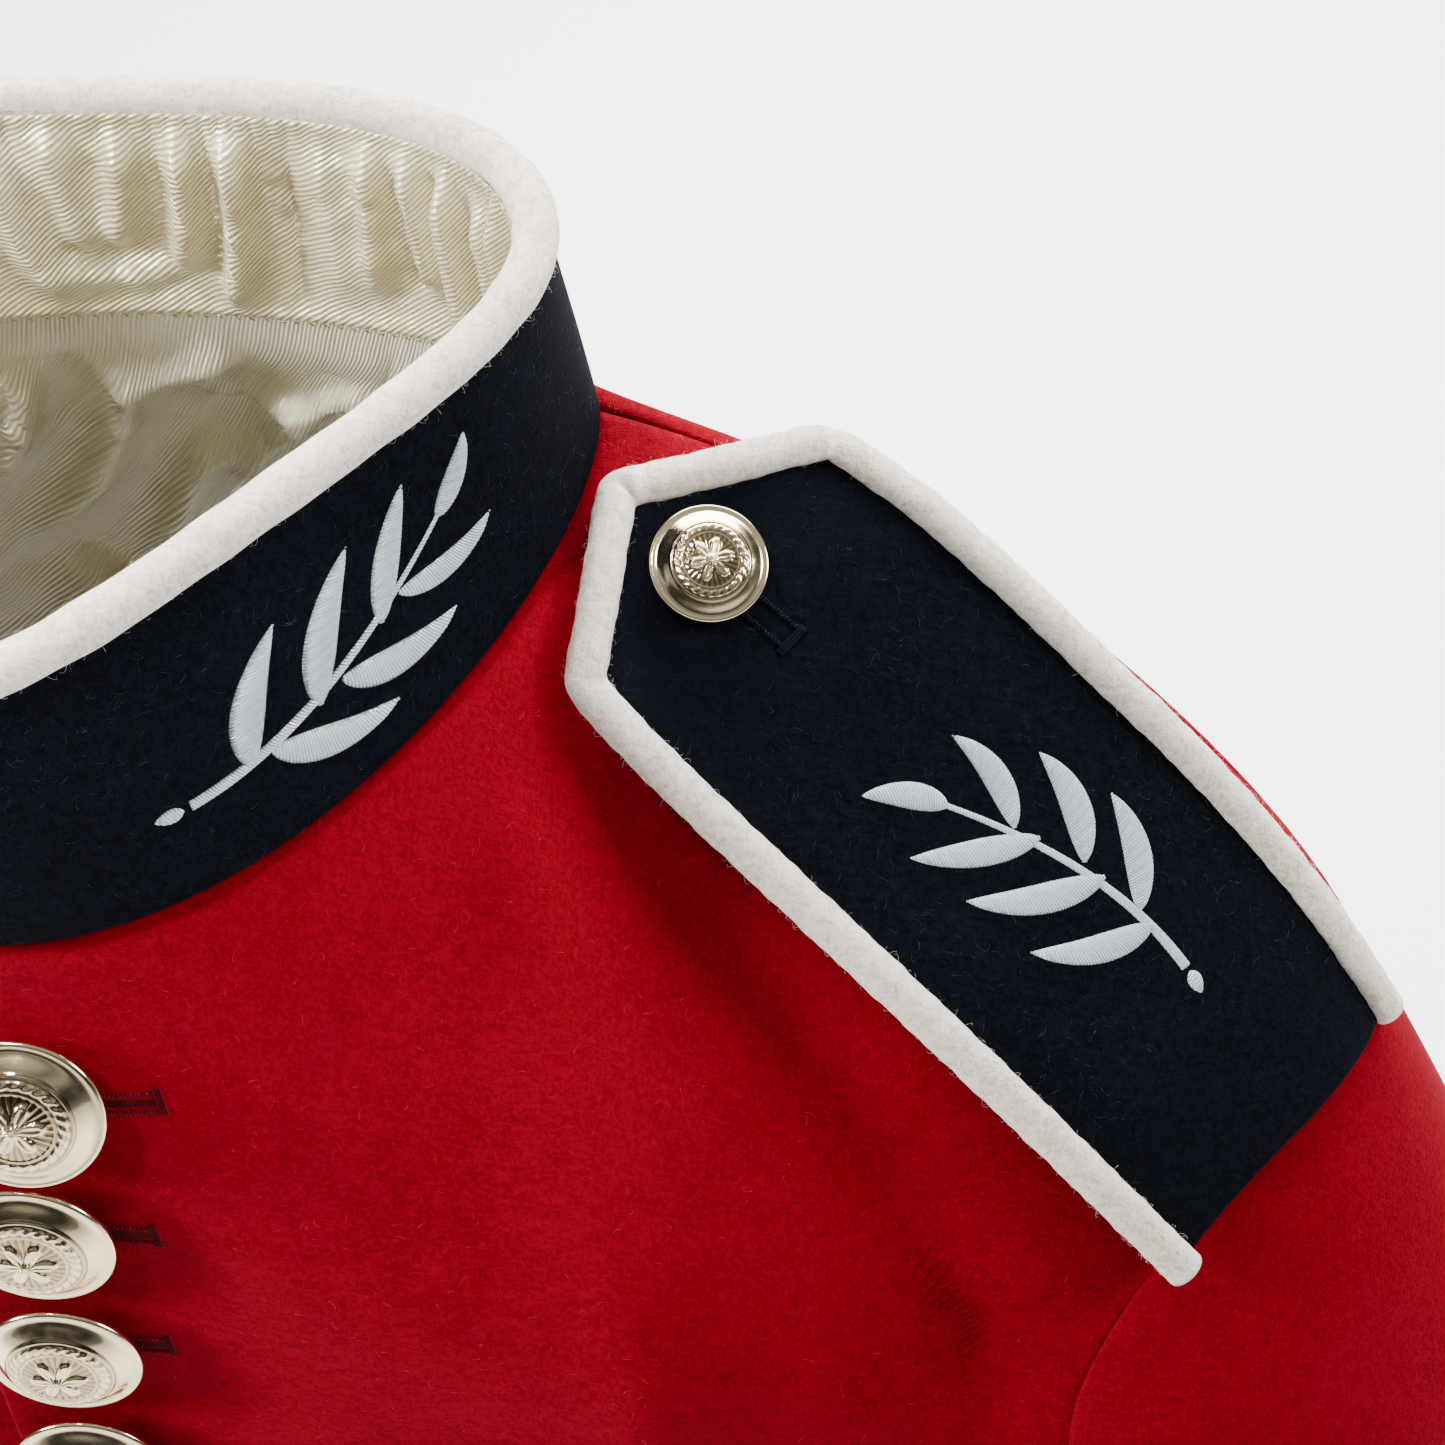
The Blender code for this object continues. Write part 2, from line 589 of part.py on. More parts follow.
def strap_lift(length, across):
    """How far the stiff strap stands off the shoulder: at both sides, since it is flatter
    than the cloth below, and most behind its neck end."""
    side = np.abs(across) / (STRAP_WIDTH / 2)
    flat = STRAP_FLAT * side ** 2 * np.clip((length - 10.0) / 30.0, 0, 1)
    back = np.where(across > 0, side ** 2, 0.0)
    return flat + STRAP_LIFT * back * np.clip((80.0 - length) / 60.0, 0, 1)


def strap_side(length, across):
    """The place across the strap once its back side is bowed out along its length and its
    sleeve end is moved a little to the back."""
    k = np.clip((length - 15.0) / (STRAP_LENGTH - 15.0), 0, 1)
    bow = STRAP_BOW * 4 * k * (1 - k) + STRAP_SPREAD * k ** 2
    share = across / (STRAP_WIDTH / 2)
    return across + bow * np.clip((share + 1) / 2, 0, 1) + STRAP_SHIFT * k ** 2


def strap_stop(across):
    """Length of the strap at a place across it, where its sleeve end meets the armhole."""
    hole_angle, hole_run = armhole(np.linspace(75, -40, 60))
    length = np.full(np.shape(across), STRAP_LENGTH)
    for _ in range(8):
        a, r = strap(length, strap_side(length, across))
        length = length + (np.interp(a, hole_angle, hole_run) - STRAP_END_GAP - r) * 0.9
    return length


edge = STRAP_WIDTH / 2 - STRAP_PIPING - 1.0
v = np.linspace(-edge, edge, 8)
u = np.linspace(0, 1, 12)
V, T = np.meshgrid(v, u)
scale = edge / (STRAP_WIDTH / 2)
begin = strap_end(V / scale) * scale + STRAP_PIPING * 1.25
L = begin + (strap_stop(V) - begin) * T
a, r = strap(L, strap_side(L, V))
p, n, up = body(a, r), body_normal(a, r), STRAP_GAP + strap_lift(L, V)
wall("left_strap", p, n, up + STRAP_WALL, up, NAVY, 0.9)
wall("right_strap", mirror(p), mirror(n), up + STRAP_WALL, up, NAVY, 0.9)

# Strap piping: down one side, round the point and up the other
half = STRAP_WIDTH / 2 - STRAP_PIPING / 2
corner_f = STRAP_POINT_FRONT + STRAP_PIPING * 0.35
corner_b = STRAP_POINT_BACK + STRAP_PIPING * 0.35
tip = STRAP_PIPING * 0.56
stops = ((strap_stop(-half), -half, 9), (corner_f, -half, 5), (tip, 0.0, 5),
         (corner_b, half, 9), (strap_stop(half), half, 1))
line = []
for (l0, v0, count), (l1, v1, _) in zip(stops, stops[1:]):
    for k in range(count):
        f = k / count
        line.append((l0 + (l1 - l0) * f, v0 + (v1 - v0) * f))
line.append(stops[-1][:2])
line = np.array(line)
a, r = strap(line[:, 0], strap_side(line[:, 0], line[:, 1]))
base, n = body(a, r), body_normal(a, r)
step = unit(np.gradient(base, axis=0))
side = unit(np.cross(n, step))
corner = 1 / np.maximum((unit(np.diff(base, axis=0, prepend=base[:1] - step[:1]))
                         * step).sum(-1), 0.6)
centre = base + n * (STRAP_GAP + STRAP_PIPING * 0.45 + strap_lift(line[:, 0], line[:, 1]))[:, None]
for label, f in (("left", lambda x: x), ("right", mirror)):
    tube(label + "_strap_piping", f(centre), f(side * corner[:, None]), f(n),
         STRAP_PIPING / 2, STRAP_PIPING * 0.44, 8, OFF_WHITE, 0.9)

# Buttons: a domed cap with a rolled edge on a short shank. Columns: radius and height as
# shares of the cap's radius.
BUTTON_COLUMNS = ("radius", "height")
BUTTON = ((0.20, 0.0), (0.20, 0.24), (0.90, 0.27), (1.00, 0.34), (0.97, 0.43), (0.66, 0.56),
          (0.35, 0.64))
BUTTON_TOP = 0.67


def button(name, at, normal, upward, radius, gap):
    """One button standing on the cloth at a point."""
    z = unit(normal)
    x = unit(np.cross(upward, z))
    y = np.cross(z, x)
    count = 12
    w = np.linspace(0, 2 * np.pi, count, endpoint=False)
    verts, faces = [], []
    for rad, high in BUTTON:
        for k in range(count):
            verts.append(at + z * (gap + high * radius)
                         + (x * np.cos(w[k]) + y * np.sin(w[k])) * rad * radius)
    rows = len(BUTTON)
    for i in range(rows - 1):
        for k in range(count):
            m = (k + 1) % count
            faces.append((i * count + k, i * count + m, (i + 1) * count + m, (i + 1) * count + k))
    verts.append(at + z * (gap + BUTTON_TOP * radius))
    for k in range(count):
        faces.append(((rows - 1) * count + k, (rows - 1) * count + (k + 1) % count,
                      rows * count))
    faces.append(tuple(range(count - 1, -1, -1)))
    return make(name, np.array(verts), faces, GILT, 0.2, 1.0)


# Front buttons in two groups of five. The line of buttons drifts a little to the wearer's
# right as it goes down, as the closing hangs.
for k in range(10):
    run = FIRST_BUTTON + k * BUTTON_PITCH + (BUTTON_GROUP_GAP if k > 4 else 0.0)
    drift = -1.5 - 5.0 * np.clip(k / 3.0, 0, 1)
    a = turn_by(np.array(0.0), np.array(run), drift)
    r = np.array(run)
    tilt = np.radians(BUTTON_TILT if k == 0 else 0.0)
    n = body_normal(a, r)
    lean = n * np.cos(tilt) + np.array((0.25, 0.0, 1.0)) * np.sin(tilt)
    lift = 0.25 + FRONT_BUTTON_R * 0.2 * np.sin(tilt)
    button("front_button_%02d" % (k + 1), body(a, r), lean, np.array((0, 0, 1.0)),
           FRONT_BUTTON_R, lift)

a, r = strap(np.array(STRAP_BUTTON_AT), np.array(0.0))
n = body_normal(a, r)
p = body(a, r) + n * (STRAP_GAP + STRAP_WALL)
button("left_strap_button", p, n, np.array((0, 0, 1.0)), STRAP_BUTTON_R, 0.25)
button("right_strap_button", mirror(p), mirror(n), np.array((0, 0, 1.0)), STRAP_BUTTON_R, 0.25)
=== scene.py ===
import math

import bpy
import numpy as np
from mathutils import Matrix


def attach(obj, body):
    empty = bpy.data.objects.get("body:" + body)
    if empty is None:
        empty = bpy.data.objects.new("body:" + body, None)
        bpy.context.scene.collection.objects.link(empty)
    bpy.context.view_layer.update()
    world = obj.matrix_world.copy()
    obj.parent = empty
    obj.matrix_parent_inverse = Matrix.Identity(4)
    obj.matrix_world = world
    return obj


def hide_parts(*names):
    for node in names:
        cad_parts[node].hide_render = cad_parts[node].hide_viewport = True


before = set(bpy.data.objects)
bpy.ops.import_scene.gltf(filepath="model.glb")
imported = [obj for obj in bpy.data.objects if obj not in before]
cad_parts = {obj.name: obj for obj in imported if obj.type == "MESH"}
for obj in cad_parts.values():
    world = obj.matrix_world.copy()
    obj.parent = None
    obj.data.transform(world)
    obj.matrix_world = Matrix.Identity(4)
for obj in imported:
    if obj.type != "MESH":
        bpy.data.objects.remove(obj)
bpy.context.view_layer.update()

MM = 0.001

# Fronts and backs: scarlet milled wool, 2 mm thick, cut in two fronts and two backs and
# pressed to a worn shape. The form is a table of rings down the cloth, mm: "run" is the
# distance down from the neck seam; centre front, front quarter, side, back quarter and
# centre back.
WOOL = 2.0
SEAM = 0.34
HEM_RUN = 690.0
UNDER_DEPTH = WOOL + 0.7
UNDER_START = 12.0
UNDER_FADE = 14.0
SLEEVE_TUCK = 1.6
LEFT_OVERLAP = 21.0
RIGHT_UNDERLAP = 20.0
BODY_COLUMNS = ("run", "cf_y", "cf_z", "fq_x", "fq_y", "fq_z", "sd_x", "sd_y", "sd_z",
                "bq_x", "bq_y", "bq_z", "cb_y", "cb_z")
BODY = (
    (0, -56.2, -9.5, 52.8, -27.2, -3.9, 79.5, 30.2, 7.8, 58.1, 53.0, 12.8, 61.6, 14.4),
    (45, -63.7, -54.3, 71.4, -44.9, -50.9, 104.3, 23.5, 1.0, 69.4, 55.4, -7.5, 83.6, -20.0),
    (95, -67.0, -104.1, 109.7, -64.1, -95.4, 157.3, 13.0, -29.2, 102.1, 64.7, -47.4, 99.2, -68.2),
    (140, -72.4, -150.2, 138.9, -71.2, -143.8, 207.1, -1.7, -85.7, 131.8, 75.2, -103.5, 107.5, -118.7),
    (190, -82.9, -198.0, 145.2, -77.1, -193.5, 203.0, -1.5, -152.6, 146.3, 91.9, -167.1, 114.1, -177.0),
    (240, -89.1, -245.9, 139.4, -75.7, -246.0, 182.0, 3.8, -235.0, 143.8, 99.9, -238.2, 116.3, -238.1),
    (430, -88.0, -428.0, 119.0, -64.0, -427.0, 150.0, 5.0, -426.0, 119.0, 79.0, -425.0, 92.0, -425.0),
    (560, -98.0, -560.0, 133.0, -74.0, -560.0, 174.0, 5.0, -560.0, 137.0, 92.0, -560.0, 109.0, -560.0),
    (690, -106.0, -690.0, 147.0, -82.0, -690.0, 190.0, 6.0, -690.0, 149.0, 101.0, -690.0,
     118.0, -690.0),
)
# Armhole: "way" round it (0 shoulder seam, 90 front, 180 under the arm), angle and run of
# its edge, and the run at the centre edge of the panel row that ends there.
ARMHOLE_COLUMNS = ("way", "angle", "run", "centre_run")
ARMHOLE_FRONT = (
    (0, 97.0, 142.6, 58.0), (20, 88.0, 138.0, 65.0), (38, 76.6, 130.2, 75.0),
    (56, 63.8, 123.4, 88.0), (70, 55.8, 127.0, 102.0), (82, 52.2, 136.0, 118.0),
    (100, 51.8, 156.0, 146.0), (126, 56.5, 188.0, 184.0), (150, 70.0, 217.0, 214.0),
    (180, 98.0, 236.0, 238.0),
)
ARMHOLE_BACK = (
    (180, 98.0, 236.0, 238.0), (210, 118.0, 219.0, 212.0), (238, 127.5, 190.0, 178.0),
    (262, 129.5, 165.0, 142.0), (290, 126.0, 147.0, 108.0), (320, 117.0, 142.6, 86.0),
    (342, 107.0, 143.2, 71.0), (360, 97.0, 142.6, 60.0),
)
SHOULDER_SEAM = ((101.0, 0.0), (97.0, 142.6))
SIDE_SEAM = ((98.0, 236.0), (99.0, 690.0))
SHOULDER_LONG = 142.0
SIDE_LONG = 454.0
UNDERARM_RUN = 238.0
# Soft creases of the body: where each starts, bends and ends, how far it stands out (or in)
# and its half width, mm. BODY_MM is the length of cloth to a degree.
BODY_MM = 2.4
RIGHT_LOWER = 9.0
RIGHT_SHARE = 0.85
CREASE_COLUMNS = ("angle_0", "run_0", "angle_1", "run_1", "angle_2", "run_2", "height", "width")
BODY_CREASES = (
    (66, 20, 62, 78, 40, 158, -6.4, 11), (57, 8, 49, 50, 24, 130, 5.6, 12),
    (14, 44, 16, 80, 12, 124, 2.0, 13), (40, 128, 30, 180, 27, 260, -1.6, 14),
    (14, 60, 17, 120, 12, 190, -1.2, 12), (58, 120, 46, 150, 34, 170, 1.4, 7),
    (52, 165, 42, 190, 33, 205, -1.5, 7), (60, 205, 45, 225, 28, 232, 1.5, 8),
    (72, 225, 60, 262, 40, 285, -1.6, 9), (88, 262, 78, 310, 70, 372, 1.6, 10),
    (100, 280, 104, 330, 101, 395, -1.7, 9), (118, 240, 112, 300, 116, 380, 1.5, 11),
    (62, 380, 75, 412, 92, 420, 1.7, 7), (52, 408, 70, 436, 93, 442, -1.6, 6),
    (60, 440, 78, 462, 96, 470, 1.4, 7), (120, 400, 136, 424, 160, 424, 1.6, 7),
    (112, 424, 134, 448, 158, 446, -1.5, 6), (128, 462, 146, 474, 168, 468, 1.2, 7),
    (126, 150, 140, 190, 150, 260, 1.8, 10), (134, 120, 150, 165, 160, 240, -1.5, 10),
    (112, 60, 128, 85, 150, 90, 1.2, 9), (150, 40, 160, 90, 166, 150, -1.0, 10),
    (36, 480, 40, 560, 36, 686, 1.8, 13), (62, 500, 66, 590, 64, 688, -1.8, 12),
    (86, 500, 90, 590, 92, 688, 2.0, 12), (112, 490, 118, 590, 122, 688, -1.8, 12),
    (138, 500, 144, 590, 148, 688, 2.2, 12), (164, 500, 166, 590, 165, 688, -1.6, 10),
)


def unit(v):
    """Each vector divided by its own length."""
    return v / np.maximum(np.linalg.norm(v, axis=-1, keepdims=True), 1e-12)


def bend_of(x, y):
    """Second derivatives of the natural cubic curve through the rows of y at x."""
    n = len(x)
    h = np.diff(x)
    a = np.eye(n)
    b = np.zeros((n, y[0].size))
    flat = y.reshape(n, -1)
    for i in range(1, n - 1):
        a[i, i - 1:i + 2] = h[i - 1], 2 * (h[i - 1] + h[i]), h[i]
        b[i] = 6 * ((flat[i + 1] - flat[i]) / h[i] - (flat[i] - flat[i - 1]) / h[i - 1])
    return np.linalg.solve(a, b).reshape(y.shape)


def along(x, y, m, q):
    """Cubic curve with second derivatives m, read at q: a y0 + b y1 + bend h h / 6."""
    i = np.clip(np.searchsorted(x, q, side="right") - 1, 0, len(x) - 2)
    extra = (...,) + (None,) * (y.ndim - 1)
    h = (x[i + 1] - x[i])[extra]
    a = (x[i + 1] - q)[extra] / h
    b = (q - x[i])[extra] / h
    bend = ((a ** 3 - a) * m[i] + (b ** 3 - b) * m[i + 1]) * h ** 2 / 6
    return a * y[i] + b * y[i + 1] + bend


def curve(rows, q):
    """Smooth curve through table rows whose first column is the place along it."""
    t = np.array(rows, float)
    return along(t[:, 0], t[:, 1:], bend_of(t[:, 0], t[:, 1:]), np.asarray(q, float))


EIGHT = np.eye(8)
RING_INVERSE = np.linalg.inv(4.0 * EIGHT + np.roll(EIGHT, 1, 0) + np.roll(EIGHT, -1, 0))


def round_ring(points, angle):
    """Point at an angle on the closed cubic curve through eight points 45 degrees apart."""
    d2 = 6 * (np.roll(points, -1, -2) - 2 * points + np.roll(points, 1, -2))
    m = np.einsum("ij,...jk->...ik", RING_INVERSE, d2)
    q = (np.asarray(angle, float) / 45.0) % 8
    i = np.floor(q).astype(int) % 8
    b = (q - np.floor(q))[..., None]
    a = 1 - b
    j = (i + 1) % 8

    def pick(values, k):
        """The k-th of the eight at each place."""
        return np.take_along_axis(values, k[..., None, None], -2)[..., 0, :]

    return (a * pick(points, i) + b * pick(points, j)
            + ((a ** 3 - a) * pick(m, i) + (b ** 3 - b) * pick(m, j)) / 6)


def eight(rows):
    """The eight points round each ring from its table row, both sides alike."""
    r = np.array(rows, float).T
    zero = np.zeros(r.shape[1])
    cf = np.stack((zero, r[0], r[1]), 1)
    fq = np.stack((r[2], r[3], r[4]), 1)
    sd = np.stack((r[5], r[6], r[7]), 1)
    bq = np.stack((r[8], r[9], r[10]), 1)
    cb = np.stack((zero, r[11], r[12]), 1)
    other = np.array((-1.0, 1.0, 1.0))
    return np.stack((cf, fq, sd, bq, cb, bq * other, sd * other, fq * other), 1)


RUNS = np.array([row[0] for row in BODY], float)
BODY_EIGHT = eight([row[1:] for row in BODY])
BODY_BEND = bend_of(RUNS, BODY_EIGHT)


def form(angle, run):
    """Smooth outer face of the body: angle 0 centre front, 90 wearer's left, 180 back."""
    angle, run = np.broadcast_arrays(np.asarray(angle, float), np.asarray(run, float))
    return round_ring(along(RUNS, BODY_EIGHT, BODY_BEND, run), angle)


def form_out(angle, run):
    """Outward direction of the smooth face: down the cloth crossed with round it."""
    angle, run = np.broadcast_arrays(np.asarray(angle, float), np.asarray(run, float))
    down = form(angle, run + 1) - form(angle, np.clip(run - 1, 0, None))
    turn = form(angle + 0.5, run) - form(angle - 0.5, run)
    return unit(np.cross(down, turn))


def creases(x, y, table, x_mm, y_mm, power=1.7):
    """Sum of soft ridges: each is height * exp(-|distance / width|^power) from a path bent
    through its middle point, fading at both ends. x_mm and y_mm turn x and y to mm."""
    total = np.zeros(np.broadcast(x, y).shape)
    t = np.linspace(0, 1, 22)
    for x0, y0, x1, y1, x2, y2, height, width in table:
        px = ((1 - t) ** 2 * x0 + 2 * t * (1 - t) * x1 + t ** 2 * x2) * x_mm
        py = ((1 - t) ** 2 * y0 + 2 * t * (1 - t) * y1 + t ** 2 * y2) * y_mm
        reach = 3.2 * width
        near = ((x * x_mm > px.min() - reach) & (x * x_mm < px.max() + reach)
                & (y * y_mm > py.min() - reach) & (y * y_mm < py.max() + reach))
        if not near.any():
            continue
        qx = (x * x_mm)[near][:, None]
        qy = (y * y_mm)[near][:, None]
        ax, ay = px[:-1][None], py[:-1][None]
        dx, dy = np.diff(px)[None], np.diff(py)[None]
        f = np.clip(((qx - ax) * dx + (qy - ay) * dy) / (dx * dx + dy * dy), 0, 1)
        away = np.hypot(qx - ax - f * dx, qy - ay - f * dy)
        k = away.argmin(1)
        pick = np.arange(len(k))
        where = (k + f[pick, k]) / (len(t) - 1)
        fade = np.clip(np.minimum(where, 1 - where) / 0.28, 0, 1)
        fade = fade * fade * (3 - 2 * fade)
        total[near] += height * fade * np.exp(-np.abs(away[pick, k] / width) ** power)
    return total


def body(angle, run, other=False):
    """Outer face with its creases; the wearer's right has them a little lower down."""
    angle, run = np.broadcast_arrays(np.asarray(angle, float), np.asarray(run, float))
    folded = 180 - np.abs(180 - angle % 360)
    lower, share = (RIGHT_LOWER, RIGHT_SHARE) if other else (0.0, 1.0)
    swell = creases(folded, run - lower, BODY_CREASES, BODY_MM, 1.0)
    ends = np.clip(run / 22.0, 0, 1) * np.clip((177 - folded) / 12.0, 0, 1)
    swell = swell * ends * np.clip((folded - 3) / 12.0, 0, 1) * share
    return form(angle, run) + form_out(angle, run) * swell[..., None]


def grid_out(p, toward):
    """Unit normals of a grid of points, turned to the side that toward shows."""
    n = unit(np.cross(np.gradient(p, axis=0), np.gradient(p, axis=1)))
    sign = np.sign((n * toward).sum(-1, keepdims=True))
    return n * np.where(sign == 0, 1, sign)


def turn_by(angle, run, mm):
    """The angle moved round its ring by a length of cloth."""
    size = np.linalg.norm(form(angle + 0.5, run) - form(angle - 0.5, run), axis=-1)
    return angle + mm / size


def armhole(way):
    """Angle and run of the armhole's edge, a closed smooth curve."""
    rows = [row[:3] for row in ARMHOLE_FRONT[:-1]] + [row[:3] for row in ARMHOLE_BACK[:-1]]
    before = [(w - 360, a, r) for w, a, r in rows[-3:]]
    after = [(w + 360, a, r) for w, a, r in rows[:3]]
    both = curve(before + rows + after, np.asarray(way, float) % 360)
    return both[..., 0], both[..., 1]


def spaced(count, length, start=True, end=True):
    """Places 0 to 1 with extra lines close to each chosen end, to round a cut edge."""
    close = np.array((0.0, 0.12, 0.35, 0.75, 1.4)) / length
    first = close if start else close[:1]
    last = 1 - (close if end else close[:1])
    return np.concatenate((first, np.linspace(first[-1], last[-1], count)[1:-1], last[::-1]))


def edge_rows(side, seam, hole, low):
    """Outer edge of a panel down the shoulder seam, armhole and side seam: angle and run,
    and the run at the panel's centre edge."""
    (a0, r0), (a1, r1) = SHOULDER_SEAM
    (a3, r3), (a4, r4) = SIDE_SEAM
    table = ARMHOLE_FRONT if side == "front" else ARMHOLE_BACK
    first = table[0] if side == "front" else table[-1]
    t = spaced(seam, SHOULDER_LONG, True, False)[:-1]
    angle, run, mid = a0 + (a1 - a0) * t, r0 + (r1 - r0) * t, first[3] * t
    way = np.linspace(0 if side == "front" else 360, 180, hole, endpoint=False)
    level = curve([(row[0], row[3]) for row in table], way)[:, 0]
    a2, r2 = armhole(way)
    t = spaced(low, SIDE_LONG, False, True)
    return (np.concatenate((angle, a2, a3 + (a4 - a3) * t)),
            np.concatenate((run, r2, r3 + (r4 - r3) * t)),
            np.concatenate((mid, level, UNDERARM_RUN + (r4 - UNDERARM_RUN) * t)))


def panel_grid(edge, u, centre, past_mm, edge_mm, tuck=0.0):
    """Angles and runs of a panel from its centre edge to its outer edge, which runs tuck
    further under the sleeve head round the upper part of the armhole."""
    end_angle, end_run, mid_run = edge
    upper = np.clip((end_run - 119) / 4, 0, 1) * np.clip((215 - end_run) / 20, 0, 1)
    edge_mm = edge_mm - tuck * upper
    sign = -1.0 if centre > 90 else 1.0
    first = turn_by(np.full(len(mid_run), float(centre)), mid_run, sign * past_mm)
    last = turn_by(end_angle, end_run, -sign * edge_mm)
    angle = first[:, None] + (last - first)[:, None] * u[None]
    run = mid_run[:, None] + (end_run - mid_run)[:, None] * (u ** 1.35)[None]
    return angle, run


def quads(rows, cols, start=0):
    """Four-sided faces of a grid of points numbered row by row."""
    k = (start + np.arange(rows - 1)[:, None] * cols + np.arange(cols - 1)[None]).ravel()
    return np.stack((k, k + 1, k + cols + 1, k + cols), 1)


def ring_faces(grid):
    """Four-sided faces between neighbouring closed rings, given as rows of point numbers."""
    after = np.roll(grid, -1, -1)
    corners = (grid[..., :-1, :], after[..., :-1, :], after[..., 1:, :], grid[..., 1:, :])
    return np.stack(corners, -1).reshape(-1, 4)


def end_fans(grid):
    """Three-sided faces that close the first and last ring with the two points after them."""
    after = np.roll(grid, -1, 1)
    size = grid.size
    first = np.stack((grid[0], np.full(len(grid[0]), size), after[0]), 1)
    last = np.stack((after[-1], np.full(len(grid[0]), size + 1), grid[-1]), 1)
    return np.concatenate((first, last)).tolist()


def make(name, points, faces, uv, material, extra=()):
    """One mesh piece, points in mm, turned so that its volume is positive, with the cloth's
    own metres as its UV map. extra is a list of three-sided faces."""
    v = points.reshape(-1, 3) * MM
    a, b, c, d = v[faces.T]
    volume = (a * np.cross(b, c)).sum() + (a * np.cross(c, d)).sum()
    every = faces.tolist() + [list(f) for f in extra]
    if volume < 0:
        every = [f[::-1] for f in every]
    mesh = bpy.data.meshes.new(name)
    mesh.from_pydata(v.tolist(), [], every)
    mesh.polygons.foreach_set("use_smooth", np.ones(len(every), bool))
    corner = np.empty(len(mesh.loops), np.int32)
    mesh.loops.foreach_get("vertex_index", corner)
    layer = mesh.uv_layers.new(name="cloth")
    layer.data.foreach_set("uv", (uv.reshape(-1, 2) * MM)[corner].astype(np.float32).ravel())
    mesh.materials.append(material)
    mesh.update()
    piece = bpy.data.objects.new(name, mesh)
    bpy.context.scene.collection.objects.link(piece)
    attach(piece, "root")
    return piece


def cloth_mm(p):
    """Distances across and down a grid of points, measured along its lines, in mm."""
    across = np.zeros(p.shape[:2])
    across[:, 1:] = np.cumsum(np.linalg.norm(np.diff(p, axis=1), axis=-1), 1)
    down = np.zeros(p.shape[:2])
    down[1:] = np.cumsum(np.linalg.norm(np.diff(p, axis=0), axis=-1), 0)
    return across, down


def shell(name, p, n, outer, thick, material, uv=None, bend=1.2):
    """Cloth with its cut edges rolled over: each face is the middle surface moved out or in
    by half the thickness times sqrt(1 - (1 - near / bend)^2), near the distance to an edge."""
    across, down = cloth_mm(p)
    near = np.minimum(np.minimum(across, across[:, -1:] - across),
                      np.minimum(down, down[-1:] - down))
    k = np.clip(near / bend, 0, 1)
    half = thick / 2 * np.maximum(np.sqrt(1 - (1 - k) ** 2), 0.06)
    middle = np.broadcast_to(np.asarray(outer, float), half.shape) - thick / 2
    top = p + n * (middle + half)[..., None]
    under = p + n * (middle - half)[..., None]
    rows, cols = half.shape
    front = quads(rows, cols)
    back = quads(rows, cols, rows * cols)[:, ::-1]
    index = np.arange(rows * cols).reshape(rows, cols)
    rim = np.concatenate((index[0], index[1:, -1], index[-1, -2::-1], index[-2:0:-1, 0]))
    nxt = np.roll(rim, -1)
    side = np.stack((nxt, rim, rim + rows * cols, nxt + rows * cols), 1)
    if uv is None:
        uv = np.stack((across - across[:, :1].mean(), -down), -1)
    return make(name, np.concatenate((top.reshape(-1, 3), under.reshape(-1, 3))),
                np.concatenate((front, back, side)), np.concatenate((uv, uv)), material)


def mirror(p):
    """The same points on the wearer's right."""
    return p * np.array((-1.0, 1.0, 1.0))


BOTH_SIDES = (("left", lambda p: p), ("right", mirror))


